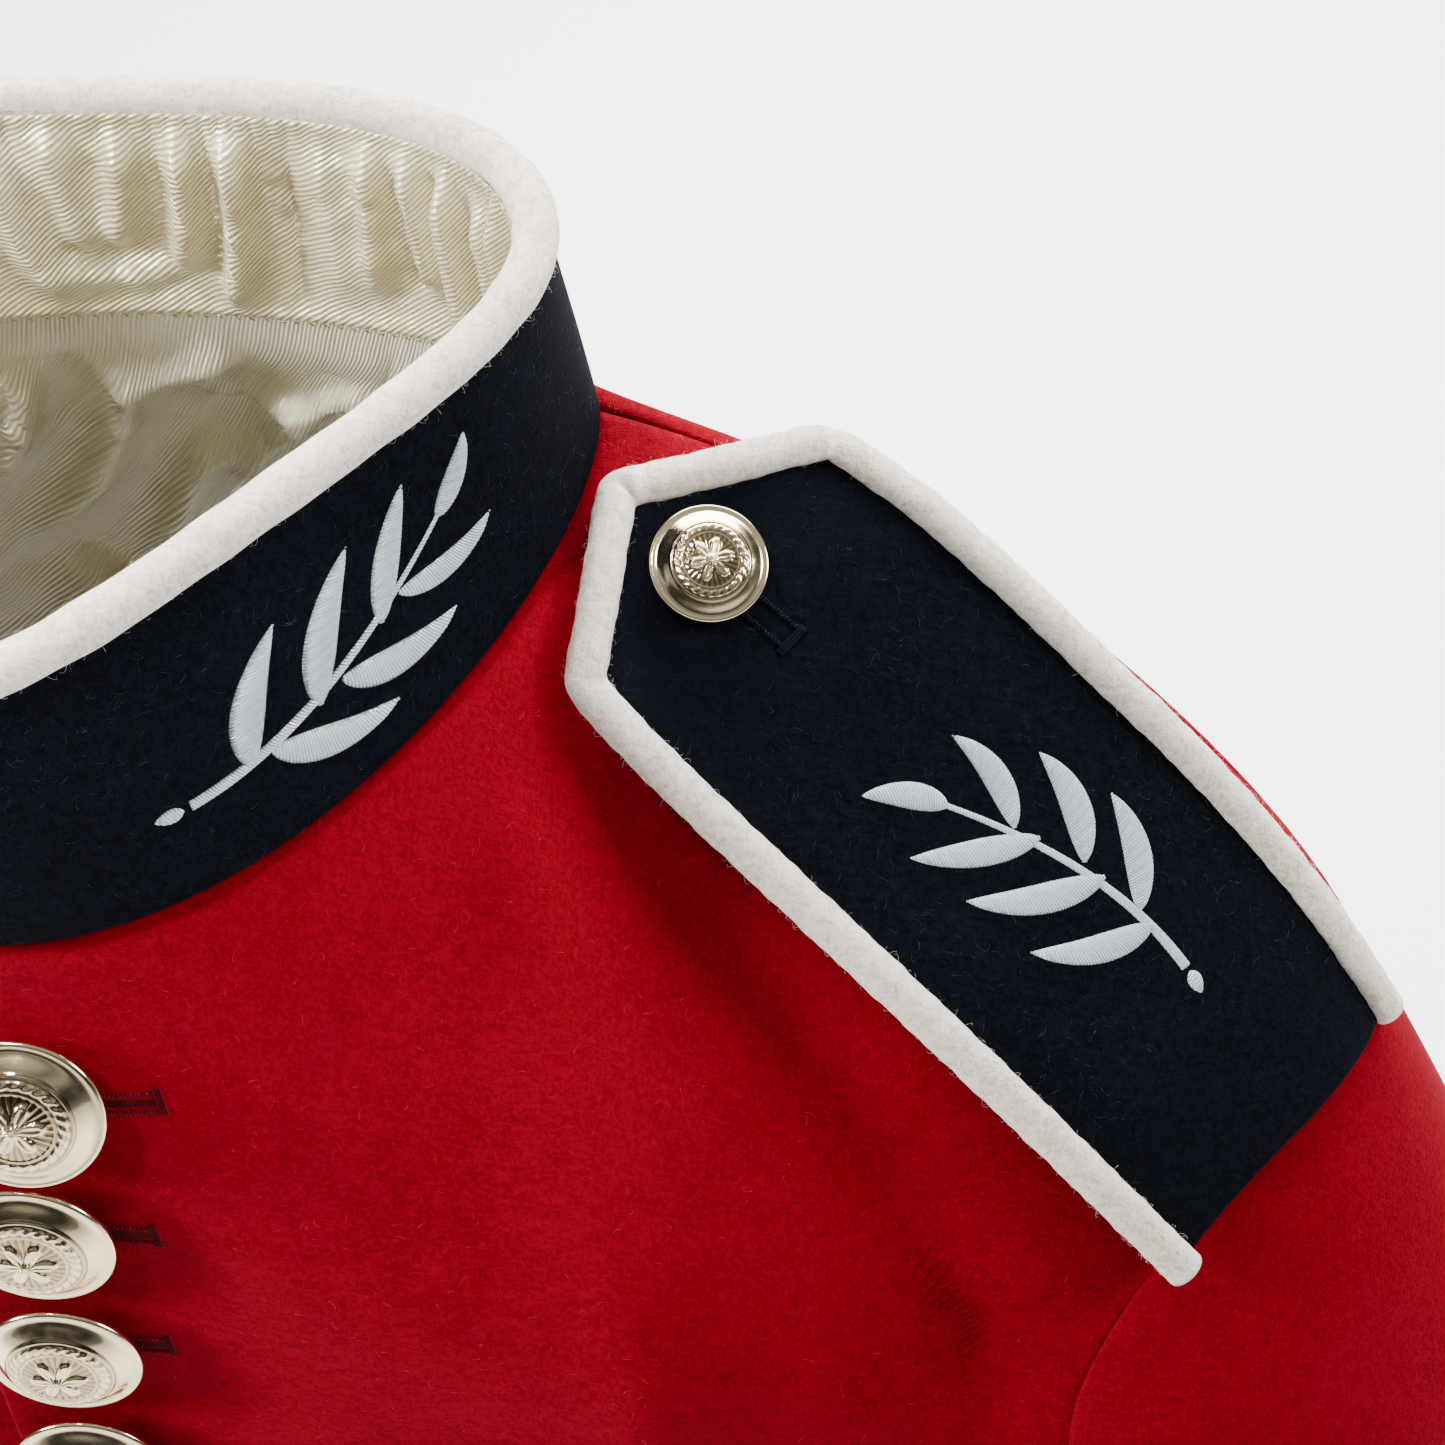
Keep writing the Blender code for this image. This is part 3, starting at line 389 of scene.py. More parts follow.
class Wire:
    """A shader socket: sums written on wires add their Math nodes."""

    def __init__(self, tree, socket=None):
        self.tree = tree
        self.socket = socket

    def node(self, kind, settings, sockets, out=0):
        """A node of that kind: its settings first, then its sockets by name or number."""
        made = self.tree.nodes.new(kind)
        for key, value in settings.items():
            if key == "stops":
                for place, colour in value[2:]:
                    made.color_ramp.elements.new(place)
                for stop, (place, colour) in zip(made.color_ramp.elements, value):
                    stop.position = place
                    stop.color = (*colour, 1.0)
            else:
                setattr(made, key, value)
        for key, value in sockets.items():
            if isinstance(value, Wire):
                self.tree.links.new(value.socket, made.inputs[key])
            else:
                made.inputs[key].default_value = value
        return Wire(self.tree, made.outputs[out])

    def maths(self, operation, a, b=0.0):
        """A Math node on two values."""
        return self.node("ShaderNodeMath", {"operation": operation}, {0: a, 1: b})

    def __add__(self, other):
        return self.maths("ADD", self, other)

    def __radd__(self, other):
        return self.maths("ADD", other, self)

    def __sub__(self, other):
        return self.maths("SUBTRACT", self, other)

    def __rsub__(self, other):
        return self.maths("SUBTRACT", other, self)

    def __mul__(self, other):
        return self.maths("MULTIPLY", self, other)

    def __rmul__(self, other):
        return self.maths("MULTIPLY", other, self)

    def __pow__(self, other):
        return self.maths("POWER", self, other)

    def limited(self, low, high):
        """The value spread from low..high to 0..1 and clamped."""
        return self.node("ShaderNodeMapRange", {"clamp": True},
                         {"Value": self, "From Min": low, "From Max": high})

    def mix(self, factor, a, b):
        """Colour a where factor is 0, b where it is 1."""
        return self.node("ShaderNodeMix", {"data_type": "RGBA"},
                         {"Factor": factor, 6: a, 7: b}, out=2)

    def place(self):
        """Place in the object's own metres."""
        return self.node("ShaderNodeTexCoord", {}, {}, out=3)

    def cloth(self):
        """The two parts of the cloth's own UV map, across and down."""
        flat = self.node("ShaderNodeUVMap", {"uv_map": "cloth"}, {})
        parts = self.node("ShaderNodeSeparateXYZ", {}, {0: flat}).socket.node
        return Wire(self.tree, parts.outputs[0]), Wire(self.tree, parts.outputs[1])

    def noise(self, scale, detail=2.0, rough=0.5, twist=0.0):
        """Noise at this place, scale to the metre."""
        return self.node("ShaderNodeTexNoise", {}, {
            "Vector": self, "Scale": scale, "Detail": detail, "Roughness": rough,
            "Distortion": twist})

    def ramp(self, *stops):
        """The value turned into a colour by stops of place and colour."""
        return self.node("ShaderNodeValToRGB", {"stops": stops}, {"Fac": self})

    def bump(self, strength, distance):
        """The value as a bump of that height in metres."""
        return self.node("ShaderNodeBump", {}, {"Strength": strength, "Distance": distance,
                                                "Height": self})


def finish(name, sockets):
    """A new material and a wire on it; the fixed sockets of its shader are set at once."""
    material = bpy.data.materials.new(name)
    material.use_nodes = True
    shader = material.node_tree.nodes["Principled BSDF"]
    for key, value in sockets.items():
        shader.inputs[key].default_value = value
    return material, shader, Wire(material.node_tree)


def join(wire, shader, sockets):
    """Links wires to the shader's sockets by name."""
    for key, value in sockets.items():
        wire.tree.links.new(value.socket, shader.inputs[key])


def milled_wool(name, deep, base, light, sheen, nap=1.0):
    """Felted wool: fibres lie every way, so two stretched noises at different turns are mixed
    with a round one; the nap shades the colour and raises a soft bump."""
    material, shader, w = finish(name, {"Roughness": 0.92, "Specular IOR Level": 0.03,
                                        "Sheen Weight": sheen, "Sheen Roughness": 0.45})
    shader.inputs["Sheen Tint"].default_value = (*light, 1.0)
    place = w.place()
    lay = []
    for turn, size in (((0.3, 0.2, 0.7), (760, 210, 460)), ((1.1, 0.9, 2.2), (230, 800, 420))):
        at = w.node("ShaderNodeMapping", {}, {"Vector": place, "Rotation": turn, "Scale": size})
        lay.append(at.noise(1.6, rough=0.65, twist=1.2))
    fibre = (lay[0] + lay[1]) * 0.5
    cloud = place.noise(38.0, rough=0.55)
    speck = place.noise(2300.0, 1.0)
    shade = fibre.limited(0.36, 0.66) * 0.70 + cloud.limited(0.3, 0.7) * 0.14 + speck * 0.16
    height = fibre * 0.8 + speck * 0.2
    join(w, shader, {"Base Color": shade.ramp((0.12, deep), (0.5, base), (0.92, light)),
                     "Normal": height.bump(0.5 * nap, 0.0006)})
    return material


scarlet = milled_wool("scarlet_milled_wool", (0.125, 0.0, 0.0045), (0.175, 0.0, 0.007),
                      (0.225, 0.0, 0.010), 0.01)


def under_layer(angle, run):
    """How far the right front is pressed in beneath the left one, 0 to 1."""
    signed = (np.asarray(angle) + 180) % 360 - 180
    width = signed * np.linalg.norm(form(0.5, run) - form(-0.5, run), axis=-1)
    return 1 - np.clip((-width - LEFT_OVERLAP - UNDER_START) / UNDER_FADE, 0, 1)


FRONT_ROWS = edge_rows("front", 32, 60, 66)
BACK_ROWS = edge_rows("back", 24, 42, 58)
PANELS = (
    ("left_front", FRONT_ROWS, 60, 240.0, 0.0, -LEFT_OVERLAP, False, (0.265, 0.72), 0.135),
    ("right_front", FRONT_ROWS, 50, 240.0, 0.0, -RIGHT_UNDERLAP, True, (0.265, 0.72), 0.135),
    ("left_back", BACK_ROWS, 42, 240.0, 180.0, SEAM / 2, False, (0.26, 0.72), 0.13),
    ("right_back", BACK_ROWS, 42, 240.0, 180.0, SEAM / 2, True, (0.26, 0.72), 0.13),
)
for label, rows, count, width, centre, past, other, flat, area in PANELS:
    a, r = panel_grid(rows, spaced(count, width), centre, past, SEAM / 2, SLEEVE_TUCK)
    p = body(a, r, other)
    n = grid_out(p, form_out(a, r))
    outer = 0.0
    if label == "right_front":
        outer = -under_layer(-a, r) * UNDER_DEPTH
    if other:
        p, n = mirror(p), mirror(n)
    piece = shell(label + "_wool", p, n, outer, WOOL, scarlet)
    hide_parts(label)


# Standing collar: a band of navy milled wool over stiff canvas, 3 mm thick, its lower edge
# turned under and felled down over the neck seam. Its top line leans as the table says, mm.
COLLAR_WALL = 3.0
COLLAR_PROUD = 1.4
RIM_LENGTH = 49.0
RIM_COLUMNS = BODY_COLUMNS[1:]
RIM = ((-59.5, 41.0, 44.5, -28.6, 46.4, 75.6, 13.2, 52.0, 59.0, 46.6, 56.0, 56.0, 57.3),)
RIM_EIGHT = eight(RIM)[0]
PIPING_WIDE = 3.5
PIPING_HIGH = 3.3


def collar(angle, up):
    """Collar's outer face: up 0 at the neck seam, 1 at the line of the piping."""
    angle, up = np.broadcast_arrays(np.asarray(angle, float), np.asarray(up, float))
    low = form(angle, np.zeros(angle.shape))
    top = round_ring(np.broadcast_to(RIM_EIGHT, angle.shape + (8, 3)), angle)
    return low + (top - low) * up[..., None]


def collar_out(angle, up):
    """Outward direction of the collar's face."""
    angle, up = np.broadcast_arrays(np.asarray(angle, float), np.asarray(up, float))
    rise = collar(angle, up + 0.02) - collar(angle, up - 0.02)
    turn = collar(angle + 0.5, up) - collar(angle - 0.5, up)
    return unit(np.cross(turn, rise))


navy = milled_wool("navy_milled_wool", (0.0014, 0.0016, 0.0028), (0.0030, 0.0036, 0.0064),
                   (0.0062, 0.0072, 0.0118), 0.006)
around = 0.45 + 359.1 * spaced(210, 440.0)
up = 0.4 / RIM_LENGTH + (1 - (PIPING_HIGH - 0.7) / RIM_LENGTH) * spaced(16, 46.0)
A, U = np.meshgrid(around, up)
wave = 0.35 * np.sin(np.radians(A * 5) + 3 * U) * np.sin(np.radians(A * 2 + 40)) * (1 - U)
collar_band = shell("collar_wool", collar(A, U), collar_out(A, U), COLLAR_PROUD + wave,
                    COLLAR_WALL, navy, bend=1.6)
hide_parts("collar")


# Collar piping: off-white milled wool cloth folded over a cord and sewn in along the collar's
# top edge. It is one round roll with faint lumps, closed at both ends.
off_white = milled_wool("off_white_wool", (0.50, 0.41, 0.33), (0.73, 0.65, 0.555),
                        (0.88, 0.81, 0.73), 0.08, 1.2)


def roll(name, centre, side, upward, half_side, half_up, count, material, squash=0.0):
    """Round cloth piping: a closed ring of count points at each centre, drawn out to
    half_side and half_up, its lower half flattened by squash, and both ends closed."""
    w = np.linspace(0, 2 * np.pi, count, endpoint=False)
    high = np.sin(w) * np.where(np.sin(w) < 0, 1 - squash, 1.0)
    wide = np.broadcast_to(half_side, len(centre))[:, None, None]
    tall = np.broadcast_to(half_up, len(centre))[:, None, None]
    ring = (centre[:, None] + side[:, None] * np.cos(w)[None, :, None] * wide
            + upward[:, None] * high[None, :, None] * tall)
    grid = np.arange(len(centre) * count).reshape(-1, count)
    points = np.concatenate((ring.reshape(-1, 3), centre[:1], centre[-1:]))
    run = np.concatenate(((0,), np.cumsum(np.linalg.norm(np.diff(centre, axis=0), axis=-1))))
    uv = np.stack(np.broadcast_arrays(run[:, None], w[None] * 3.2), -1).reshape(-1, 2)
    uv = np.concatenate((uv, np.zeros((2, 2))))
    return make(name, points, ring_faces(grid), uv, material, end_fans(grid))


around = np.linspace(0.45, 359.55, 420)
top = collar(around, 1.0)
out = collar_out(around, 1.0)
rise = unit(collar(around, 1.0) - collar(around, 0.9))
lumps = (np.sin(np.radians(around * 17)) + np.sin(np.radians(around * 29 + 50))
         + np.sin(np.radians(around * 47 + 10))) * 0.05
piece = roll("collar_piping_roll", top - out * 0.1, out, rise, PIPING_WIDE - 0.1 + lumps,
             PIPING_HIGH - 0.1 + lumps, 22, off_white)
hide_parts("collar_piping")


# Linings: champagne twill satin, cut full, so it puckers along the piping and creases in
# the neck. The collar's strip is felled down to the body linings.
LINING = 0.6
LINING_BEND = 0.5
LINING_DEPTH = WOOL + 2.7
COLLAR_MM = 1.22
STRIP_HIGH = 46
NECK_MM = 1.75
LINING_SEAM_UP = 3.4
TWILL_PITCH = 0.00085
COLLAR_CREASES = (
    (162, 1.0, 161.5, 0.62, 166, 0.12, 3.6, 1.9), (167.5, 1.0, 168, 0.62, 171, 0.30, 3.2, 2.0),
    (155.5, 1.0, 156.5, 0.5, 158, 0.02, -1.0, 0.9), (151, 0.95, 152, 0.6, 150, 0.2, 1.6, 4.0),
    (144.5, 1.0, 144, 0.7, 147, 0.25, 2.6, 2.2), (138.5, 1.0, 138, 0.68, 136, 0.3, 2.8, 2.0),
    (131, 1.0, 131.5, 0.6, 131, 0.12, 3.8, 1.7), (125, 0.9, 123, 0.6, 126, 0.2, 2.2, 2.4),
    (117, 1.0, 118, 0.6, 114, 0.15, 3.0, 2.0), (174, 0.98, 175, 0.66, 178, 0.42, 2.4, 2.4),
    (171, 0.40, 177, 0.26, 188, 0.40, 1.0, 3.2), (181, 1.0, 183, 0.7, 180, 0.36, 2.0, 3.2),
    (188, 0.95, 190, 0.55, 184, 0.18, 3.0, 3.4), (194, 1.0, 195, 0.6, 200, 0.2, 2.2, 2.4),
    (203, 1.0, 202, 0.6, 198, 0.1, 3.2, 2.4), (211, 0.95, 213, 0.6, 209, 0.25, 2.2, 2.4),
    (221, 1.0, 219, 0.6, 224, 0.2, 2.8, 2.0), (233, 0.95, 235, 0.6, 230, 0.15, 2.4, 2.6),
    (246, 1.0, 244, 0.55, 248, 0.2, 2.8, 2.2), (259, 0.95, 261, 0.5, 257, 0.2, 2.0, 2.4),
    (272, 1.0, 270, 0.6, 274, 0.2, 2.4, 2.2), (288, 0.95, 290, 0.5, 287, 0.2, 2.0, 2.6),
    (304, 1.0, 303, 0.6, 307, 0.2, 2.2, 2.4), (322, 0.95, 324, 0.5, 320, 0.2, 1.6, 2.6),
    (104, 0.95, 106, 0.6, 102, 0.15, 2.4, 2.2), (92, 1.0, 91, 0.6, 95, 0.2, 2.6, 2.2),
    (78, 0.95, 80, 0.5, 77, 0.2, 2.0, 2.4), (64, 1.0, 63, 0.6, 66, 0.2, 2.4, 2.2),
    (48, 0.95, 50, 0.5, 46, 0.2, 1.8, 2.6), (30, 0.95, 29, 0.6, 33, 0.2, 1.6, 2.4),
)
NECK_CREASES = (
    (182, 4, 187, 40, 201, 92, 5.0, 4.2), (195, 8, 198, 30, 204, 62, 6.0, 3.6),
    (189, 8, 193, 26, 197, 44, -3.0, 2.4), (167, 7, 175, 15, 188, 20, 3.6, 3.4),
    (158, 26, 169, 38, 180, 72, 5.0, 4.4), (149, 20, 160, 29, 172, 31, 3.2, 3.2),
    (150, 44, 162, 50, 171, 82, 4.6, 4.4), (176, 46, 184, 60, 188, 98, 4.2, 4.0),
    (145.5, 1, 150, 18, 156, 40, -1.2, 0.9), (207, 6, 211, 34, 206, 70, 4.6, 4.0),
    (217, 10, 214, 40, 222, 84, 5.0, 4.4), (228, 8, 233, 34, 228, 66, 4.0, 3.8),
    (138, 6, 133, 34, 139, 66, 4.2, 3.8), (126, 10, 130, 38, 122, 78, 4.6, 4.2),
    (164, 66, 158, 96, 166, 132, 4.0, 5.0), (196, 84, 190, 112, 197, 150, 4.2, 5.0),
    (212, 92, 217, 120, 210, 160, 3.6, 5.0), (142, 88, 148, 116, 141, 150, 3.8, 5.0),
    (180, 110, 176, 150, 182, 210, 3.4, 6.0), (204, 170, 199, 220, 205, 280, 3.2, 6.0),
    (156, 170, 161, 220, 154, 280, 3.2, 6.0), (180, 240, 184, 300, 178, 370, 3.0, 7.0),
    (130, 250, 136, 320, 131, 400, 3.0, 7.0), (230, 250, 224, 320, 230, 400, 3.0, 7.0),
)


def twill_satin(name, slant, base, dark, light):
    """Twill satin: fine ribs run slantwise, sin(2 pi (x cos + y sin) / pitch), over a softly
    clouded ground; the colour carries painted shade in the hollows between ribs and a
    painted highlight on their crests, and the hollows are less glossy."""
    material, shader, w = finish(name, {"Metallic": 0.2, "Specular IOR Level": 1.0,
                                        "Coat Weight": 0.6, "Coat Roughness": 0.2})
    across, down = w.cloth()
    place = w.place()
    cloud = place.noise(55.0)
    fine = place.noise(1500.0, 1.0)
    turns = 2 * math.pi / TWILL_PITCH
    wave = (across * (math.cos(slant) * turns) + down * (math.sin(slant) * turns)
            + cloud * 9.0)
    rib = w.maths("SINE", wave) * 0.5 + 0.5
    # painted shade and highlight: the rib wave darkens the hollows and lightens the crests; the cloud
    # and fine noise add random tone
    shade = rib * 0.62 + cloud.limited(0.3, 0.7) * 0.24 + fine * 0.14
    height = rib * 0.85 + fine * 0.15
    join(w, shader, {"Base Color": shade.ramp((0.08, dark), (0.5, base), (0.95, light)),
                     "Roughness": 0.30 - rib * 0.08 + cloud * 0.06,
                     "Normal": height.bump(0.8, 0.00022)})
    return material


def small_creases(count, seed, x_low, x_high, y_low, y_high, x_size, y_size, height, width):
    """Table of small creases scattered with a fixed seed, lying every way."""
    dice = np.random.default_rng(seed)
    x = dice.uniform(x_low, x_high, count)
    y = dice.uniform(y_low, y_high, count)
    turn = dice.uniform(0, np.pi, count)
    long = dice.uniform(0.5, 1.0, count)
    bow = dice.uniform(-0.5, 0.5, count)
    dx, dy = np.cos(turn) * x_size * long, np.sin(turn) * y_size * long
    share = dice.uniform(0.35, 1.0, count)
    sign = dice.choice((-1.0, 1.0), count, p=(0.35, 0.65))
    tall = share * height * sign
    wide = dice.uniform(0.6, 1.2, count) * width
    return np.stack((x - dx, y - dy, x - dy * bow * x_size / y_size,
                     y + dx * bow * y_size / x_size, x + dx, y + dy, tall, wide), 1)


# each satin's dark and light colours carry the painted shade between ribs and the painted highlight on
# their crests
collar_satin = twill_satin("collar_twill_satin", math.radians(52), (0.74, 0.68, 0.44),
                           (0.52, 0.46, 0.26), (0.92, 0.88, 0.68))
body_satin = twill_satin("body_twill_satin", math.radians(32), (0.74, 0.71, 0.53),
                         (0.52, 0.49, 0.34), (0.90, 0.88, 0.72))
around = np.linspace(6, 354, 500)
up = np.linspace(LINING_SEAM_UP / RIM_LENGTH, 1 - 0.3 / RIM_LENGTH, 44)
A, U = np.meshgrid(around, up)
rel = (U - up[0]) / (up[-1] - up[0])
swell = 1.8 * creases(A, 0.16 + 0.84 * rel, COLLAR_CREASES, COLLAR_MM, 52.0, 1.35)
fine_folds = small_creases(130, 5, 8, 352, 0.12, 0.9, 3.2, 0.12, 0.9, 1.5)
swell += creases(A, rel, fine_folds, COLLAR_MM, 44.0)
hold = np.clip(rel / 0.10, 0, 1) * np.clip((1 - rel) / 0.10, 0, 1)
size = 0.55 + 0.45 * np.sin(np.radians(A * 7)) * np.sin(np.radians(A * 3 + 20))
pucker = 0.75 * size * np.sin(np.radians(A * 150) + 5 * np.sin(np.radians(A * 11)))
from_top = (1 - rel) * STRIP_HIGH
pucker = pucker * np.exp(-(from_top / 8.0) ** 1.2) * np.clip(from_top / 1.4, 0, 1)
low = 0.22 * np.sin(np.radians(A * 120) + 4 * np.sin(np.radians(A * 9)))
low = low * np.exp(-(rel * 44 / 3.0)) * np.clip(rel * 44 / 0.6, 0, 1)
inset = (-2.1 - 2.5 * (1 - rel) ** 6 - 1.3 * rel ** 9 - np.clip(swell, -0.6, 9) * hold ** 0.7
         - pucker - low)
p = collar(A, U) + collar_out(A, U) * inset[..., None]
n = grid_out(p, collar_out(A, U))
uv = np.stack(((A - 180) * COLLAR_MM, (U - 0.5) * RIM_LENGTH), -1)
collar_strip = shell("collar_satin", p, n, 0.0, LINING, collar_satin,
                     uv, LINING_BEND)
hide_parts("collar_lining")

LINING_START = 26.0
LINING_SHORT = 24.0
LINING_AT_EDGE = 1.6


def lining_run(run):
    """Run down the cloth, started at the neck seam and stopped above the hem."""
    return 0.3 + run * (HEM_RUN - LINING_SHORT) / HEM_RUN


LINING_FRONT = edge_rows("front", 20, 28, 30)
a, r = panel_grid(LINING_FRONT, spaced(28, 200.0), 0.0, LINING_START, LINING_AT_EDGE)
r = lining_run(r)
slack = small_creases(70, 11, 22, 96, 10, 650, 5.0, 26.0, 1.5, 5.0)
for side, other in (("left", False), ("right", True)):
    sink = LINING_DEPTH + np.clip(creases(a, r, slack, BODY_MM, 1.0), -0.6, 4) * np.clip(r / 20, 0, 1)
    p = body(a, r, other)
    n = grid_out(p, form_out(a, r))
    if other:
        p, n = mirror(p), mirror(n)
        sink = sink + under_layer(-a, r) * UNDER_DEPTH
    p = p - n * sink[..., None]
    piece = shell(side + "_front_satin", p, n, 0.0, LINING, body_satin,
                  bend=LINING_BEND)
    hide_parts(side + "_front_lining")

LINING_BACK = edge_rows("back", 60, 40, 30)
a, r = panel_grid(LINING_BACK, np.linspace(0, 1, 74), 180.0, 0.0, LINING_AT_EDGE)
a = np.concatenate((a[:, ::-1], 360 - a[:, 1:]), 1)
r = lining_run(np.concatenate((r[:, ::-1], r[:, 1:]), 1))
crumple = small_creases(120, 23, 104, 256, 8, 150, 4.5, 8.0, 2.0, 3.0)
lower_folds = small_creases(60, 29, 104, 256, 150, 640, 6.0, 26.0, 2.0, 5.5)
swell = (1.25 * creases(a, r, NECK_CREASES, NECK_MM, 1.0, 1.4)
         + creases(a, r, crumple, NECK_MM, 1.0, 1.4)
         + creases(a, r, lower_folds, BODY_MM, 1.0))
hem = 0.3 * np.sin(a * 2.1 + 2 * np.sin(a * 0.5)) * np.exp(-r / 3.0)
sink = LINING_DEPTH + np.clip(swell, -0.8, 12) * np.clip((r - 0.8) / 5.0, 0, 1) + hem
sink = sink - 0.9 * np.exp(-(r / 4.0) ** 2)
top_share = np.exp(-(r / 5.0) ** 2)[..., None]
inward = unit(form_out(a, r) * (1 - top_share) + collar_out(a, np.zeros(a.shape)) * top_share)
p = np.where((a > 180)[..., None], mirror(body(360 - a, r, True)), body(a, r))
seam_up = np.full(a.shape, (LINING_SEAM_UP + 0.5) / RIM_LENGTH)
to_seam = collar(a, seam_up) - collar(a, np.zeros(a.shape))
p = p - inward * sink[..., None] + to_seam * np.exp(-(r / 7.0) ** 2)[..., None]
n = grid_out(p, form_out(a, r))
piece = shell("back_satin", p, n, 0.0, LINING, body_satin,
              np.stack(((a - 180) * NECK_MM, -r), -1), LINING_BEND)
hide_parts("back_lining")


# Sleeves: each cut as a top sleeve and an under sleeve, the head eased into the armhole so
# that it stands a little proud of the shoulder. Rings below the head, mm.
SLEEVE_COLUMNS = ("down", "x", "y", "z", "half_x", "half_y")
SLEEVE = (
    (0.34, 226.0, 0.0, -262.0, 42.0, 72.0),
    (0.48, 233.0, -6.0, -340.0, 46.0, 67.0),
    (0.64, 243.0, -16.0, -440.0, 48.0, 61.0),
    (0.82, 245.0, -36.0, -560.0, 45.0, 54.0),
    (1.00, 245.0, -60.0, -686.0, 41.0, 47.0),
)
HEAD_COLUMNS = ("way", "along_cloth", "outward", "down", "reach", "lift")
HEAD = (
    (0, 0.95, 0.30, 0.60, 0.15, 2.4), (45, 0.90, 0.40, 0.40, 0.21, 2.6),
    (90, 0.85, 0.50, 0.20, 0.34, 2.0), (135, 0.30, 0.80, 0.50, 0.34, 0.8),
    (180, -0.10, 0.90, 0.70, 0.34, 0.4), (225, 0.30, 0.80, 0.50, 0.34, 0.8),
    (270, 0.85, 0.50, 0.20, 0.34, 1.6), (315, 0.90, 0.35, 0.50, 0.16, 0.6),
)
HEAD_END = 0.36
HEAD_OVER = 1.3
HEAD_DROP = 1.7
HEAD_EIGHT = np.array([row[1:] for row in HEAD], float)
SLEEVE_CREASES = (
    (60, 0.10, 72, 0.16, 96, 0.20, 1.4, 6), (40, 0.14, 66, 0.23, 100, 0.26, -1.6, 6),
    (20, 0.20, 60, 0.30, 104, 0.31, 1.4, 8), (70, 0.52, 96, 0.56, 116, 0.55, 2.4, 7),
    (62, 0.57, 92, 0.60, 118, 0.59, -2.4, 6), (66, 0.61, 90, 0.65, 116, 0.63, 2.2, 7),
    (80, 0.67, 98, 0.70, 116, 0.68, -1.6, 6), (-70, 0.30, -50, 0.38, -30, 0.42, 1.6, 9),
    (-90, 0.50, -70, 0.54, -46, 0.53, -1.6, 8), (-84, 0.60, -62, 0.64, -38, 0.62, 1.5, 8),
    (30, 0.80, 60, 0.83, 90, 0.81, 1.4, 7), (20, 0.86, 54, 0.89, 96, 0.87, -1.4, 6),
    (-60, 0.80, -30, 0.84, 6, 0.82, 1.3, 8), (-20, 0.36, -10, 0.46, -16, 0.56, -1.2, 12),
    (130, 0.50, 160, 0.54, 200, 0.52, 1.8, 8), (140, 0.62, 170, 0.66, 210, 0.64, -1.6, 8),
)


def sleeve(way, down, other=False):
    """Left sleeve's outer face: down 0 at the armhole, 1 at the cuff. The head is a cubic
    Bezier curve from the armhole to the first ring; rings follow a smooth curve below."""
    way, down = np.broadcast_arrays(np.asarray(way, float), np.asarray(down, float))
    angle, run = armhole(way)
    p = body(angle, run, other)
    n = form_out(angle, run)
    a1, r1 = armhole(way + 3)
    a0, r0 = armhole(way - 3)
    lie = unit(form(a1, r1) - form(a0, r0))
    outside = unit(np.cross(n, lie))
    h = round_ring(np.broadcast_to(HEAD_EIGHT, way.shape + HEAD_EIGHT.shape), way)
    start = p + n * (h[..., 4:5] - HEAD_DROP) - outside * HEAD_OVER
    leave = outside * h[..., 0:1] + n * h[..., 1:2] + np.array((0, 0, -1.0)) * h[..., 2:3]
    first = SLEEVE[0][0]
    c = curve(SLEEVE, np.clip(down, first, 1))
    c2 = curve(SLEEVE, np.clip(down, first, 1) + 0.02)
    axis = unit(c2[..., :3] - c[..., :3])
    w = np.radians(way)
    flat = np.stack((np.cos(w) * c[..., 3], -np.sin(w) * c[..., 4], np.zeros(w.shape)), -1)
    flat[..., 2] = -(flat[..., 0] * axis[..., 0] + flat[..., 1] * axis[..., 1]) / axis[..., 2]
    ring = c[..., :3] + flat
    t = np.clip(down / first, 0, 1)[..., None]
    far = np.linalg.norm(ring - start, axis=-1, keepdims=True)
    leave = unit(leave) * h[..., 3:4] * far
    head = ((1 - t) ** 3 * start + 3 * t * (1 - t) ** 2 * (start + leave)
            + 3 * t * t * (1 - t) * (ring - axis * HEAD_END * far) + t ** 3 * ring)
    return np.where(down[..., None] < first, head, ring)


def sleeve_out(way, down):
    """Outward direction of the sleeve's face."""
    way, down = np.broadcast_arrays(np.asarray(way, float), np.asarray(down, float))
    along_it = (sleeve(way, np.clip(down + 0.006, 0, 1))
                - sleeve(way, np.clip(down - 0.006, 0, 1)))
    turn = sleeve(way + 1.5, down) - sleeve(way - 1.5, down)
    return unit(np.cross(turn, along_it))


FRONT_SEAM_WAY = 118.0
HIND_SEAM_WAY = 232.0
down = spaced(84, 640.0)
for side, other in (("left", False), ("right", True)):
    for part, first, last, count, flat, area in (
            ("top_sleeve", HIND_SEAM_WAY - 360, FRONT_SEAM_WAY, 62, (0.26, 0.66), 0.14),
            ("under_sleeve", FRONT_SEAM_WAY, HIND_SEAM_WAY, 28, (0.13, 0.56), 0.06)):
        around = first + 0.18 + (last - first - 0.36) * spaced(count, (last - first) * 1.05)
        W, D = np.meshgrid(around, down)
        p, n = sleeve(W, D, other), sleeve_out(W, D)
        shift = 0.012 if other else 0.0
        p = p + n * (creases(W, D - shift, SLEEVE_CREASES, 1.05, 620.0)
                     * np.clip(D / 0.06, 0, 1))[..., None]
        n = grid_out(p, n)
        if other:
            p, n = mirror(p), mirror(n)
        piece = shell("%s_%s_wool" % (side, part), p, n, 0.0, WOOL, scarlet)
        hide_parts("%s_%s" % (side, part))


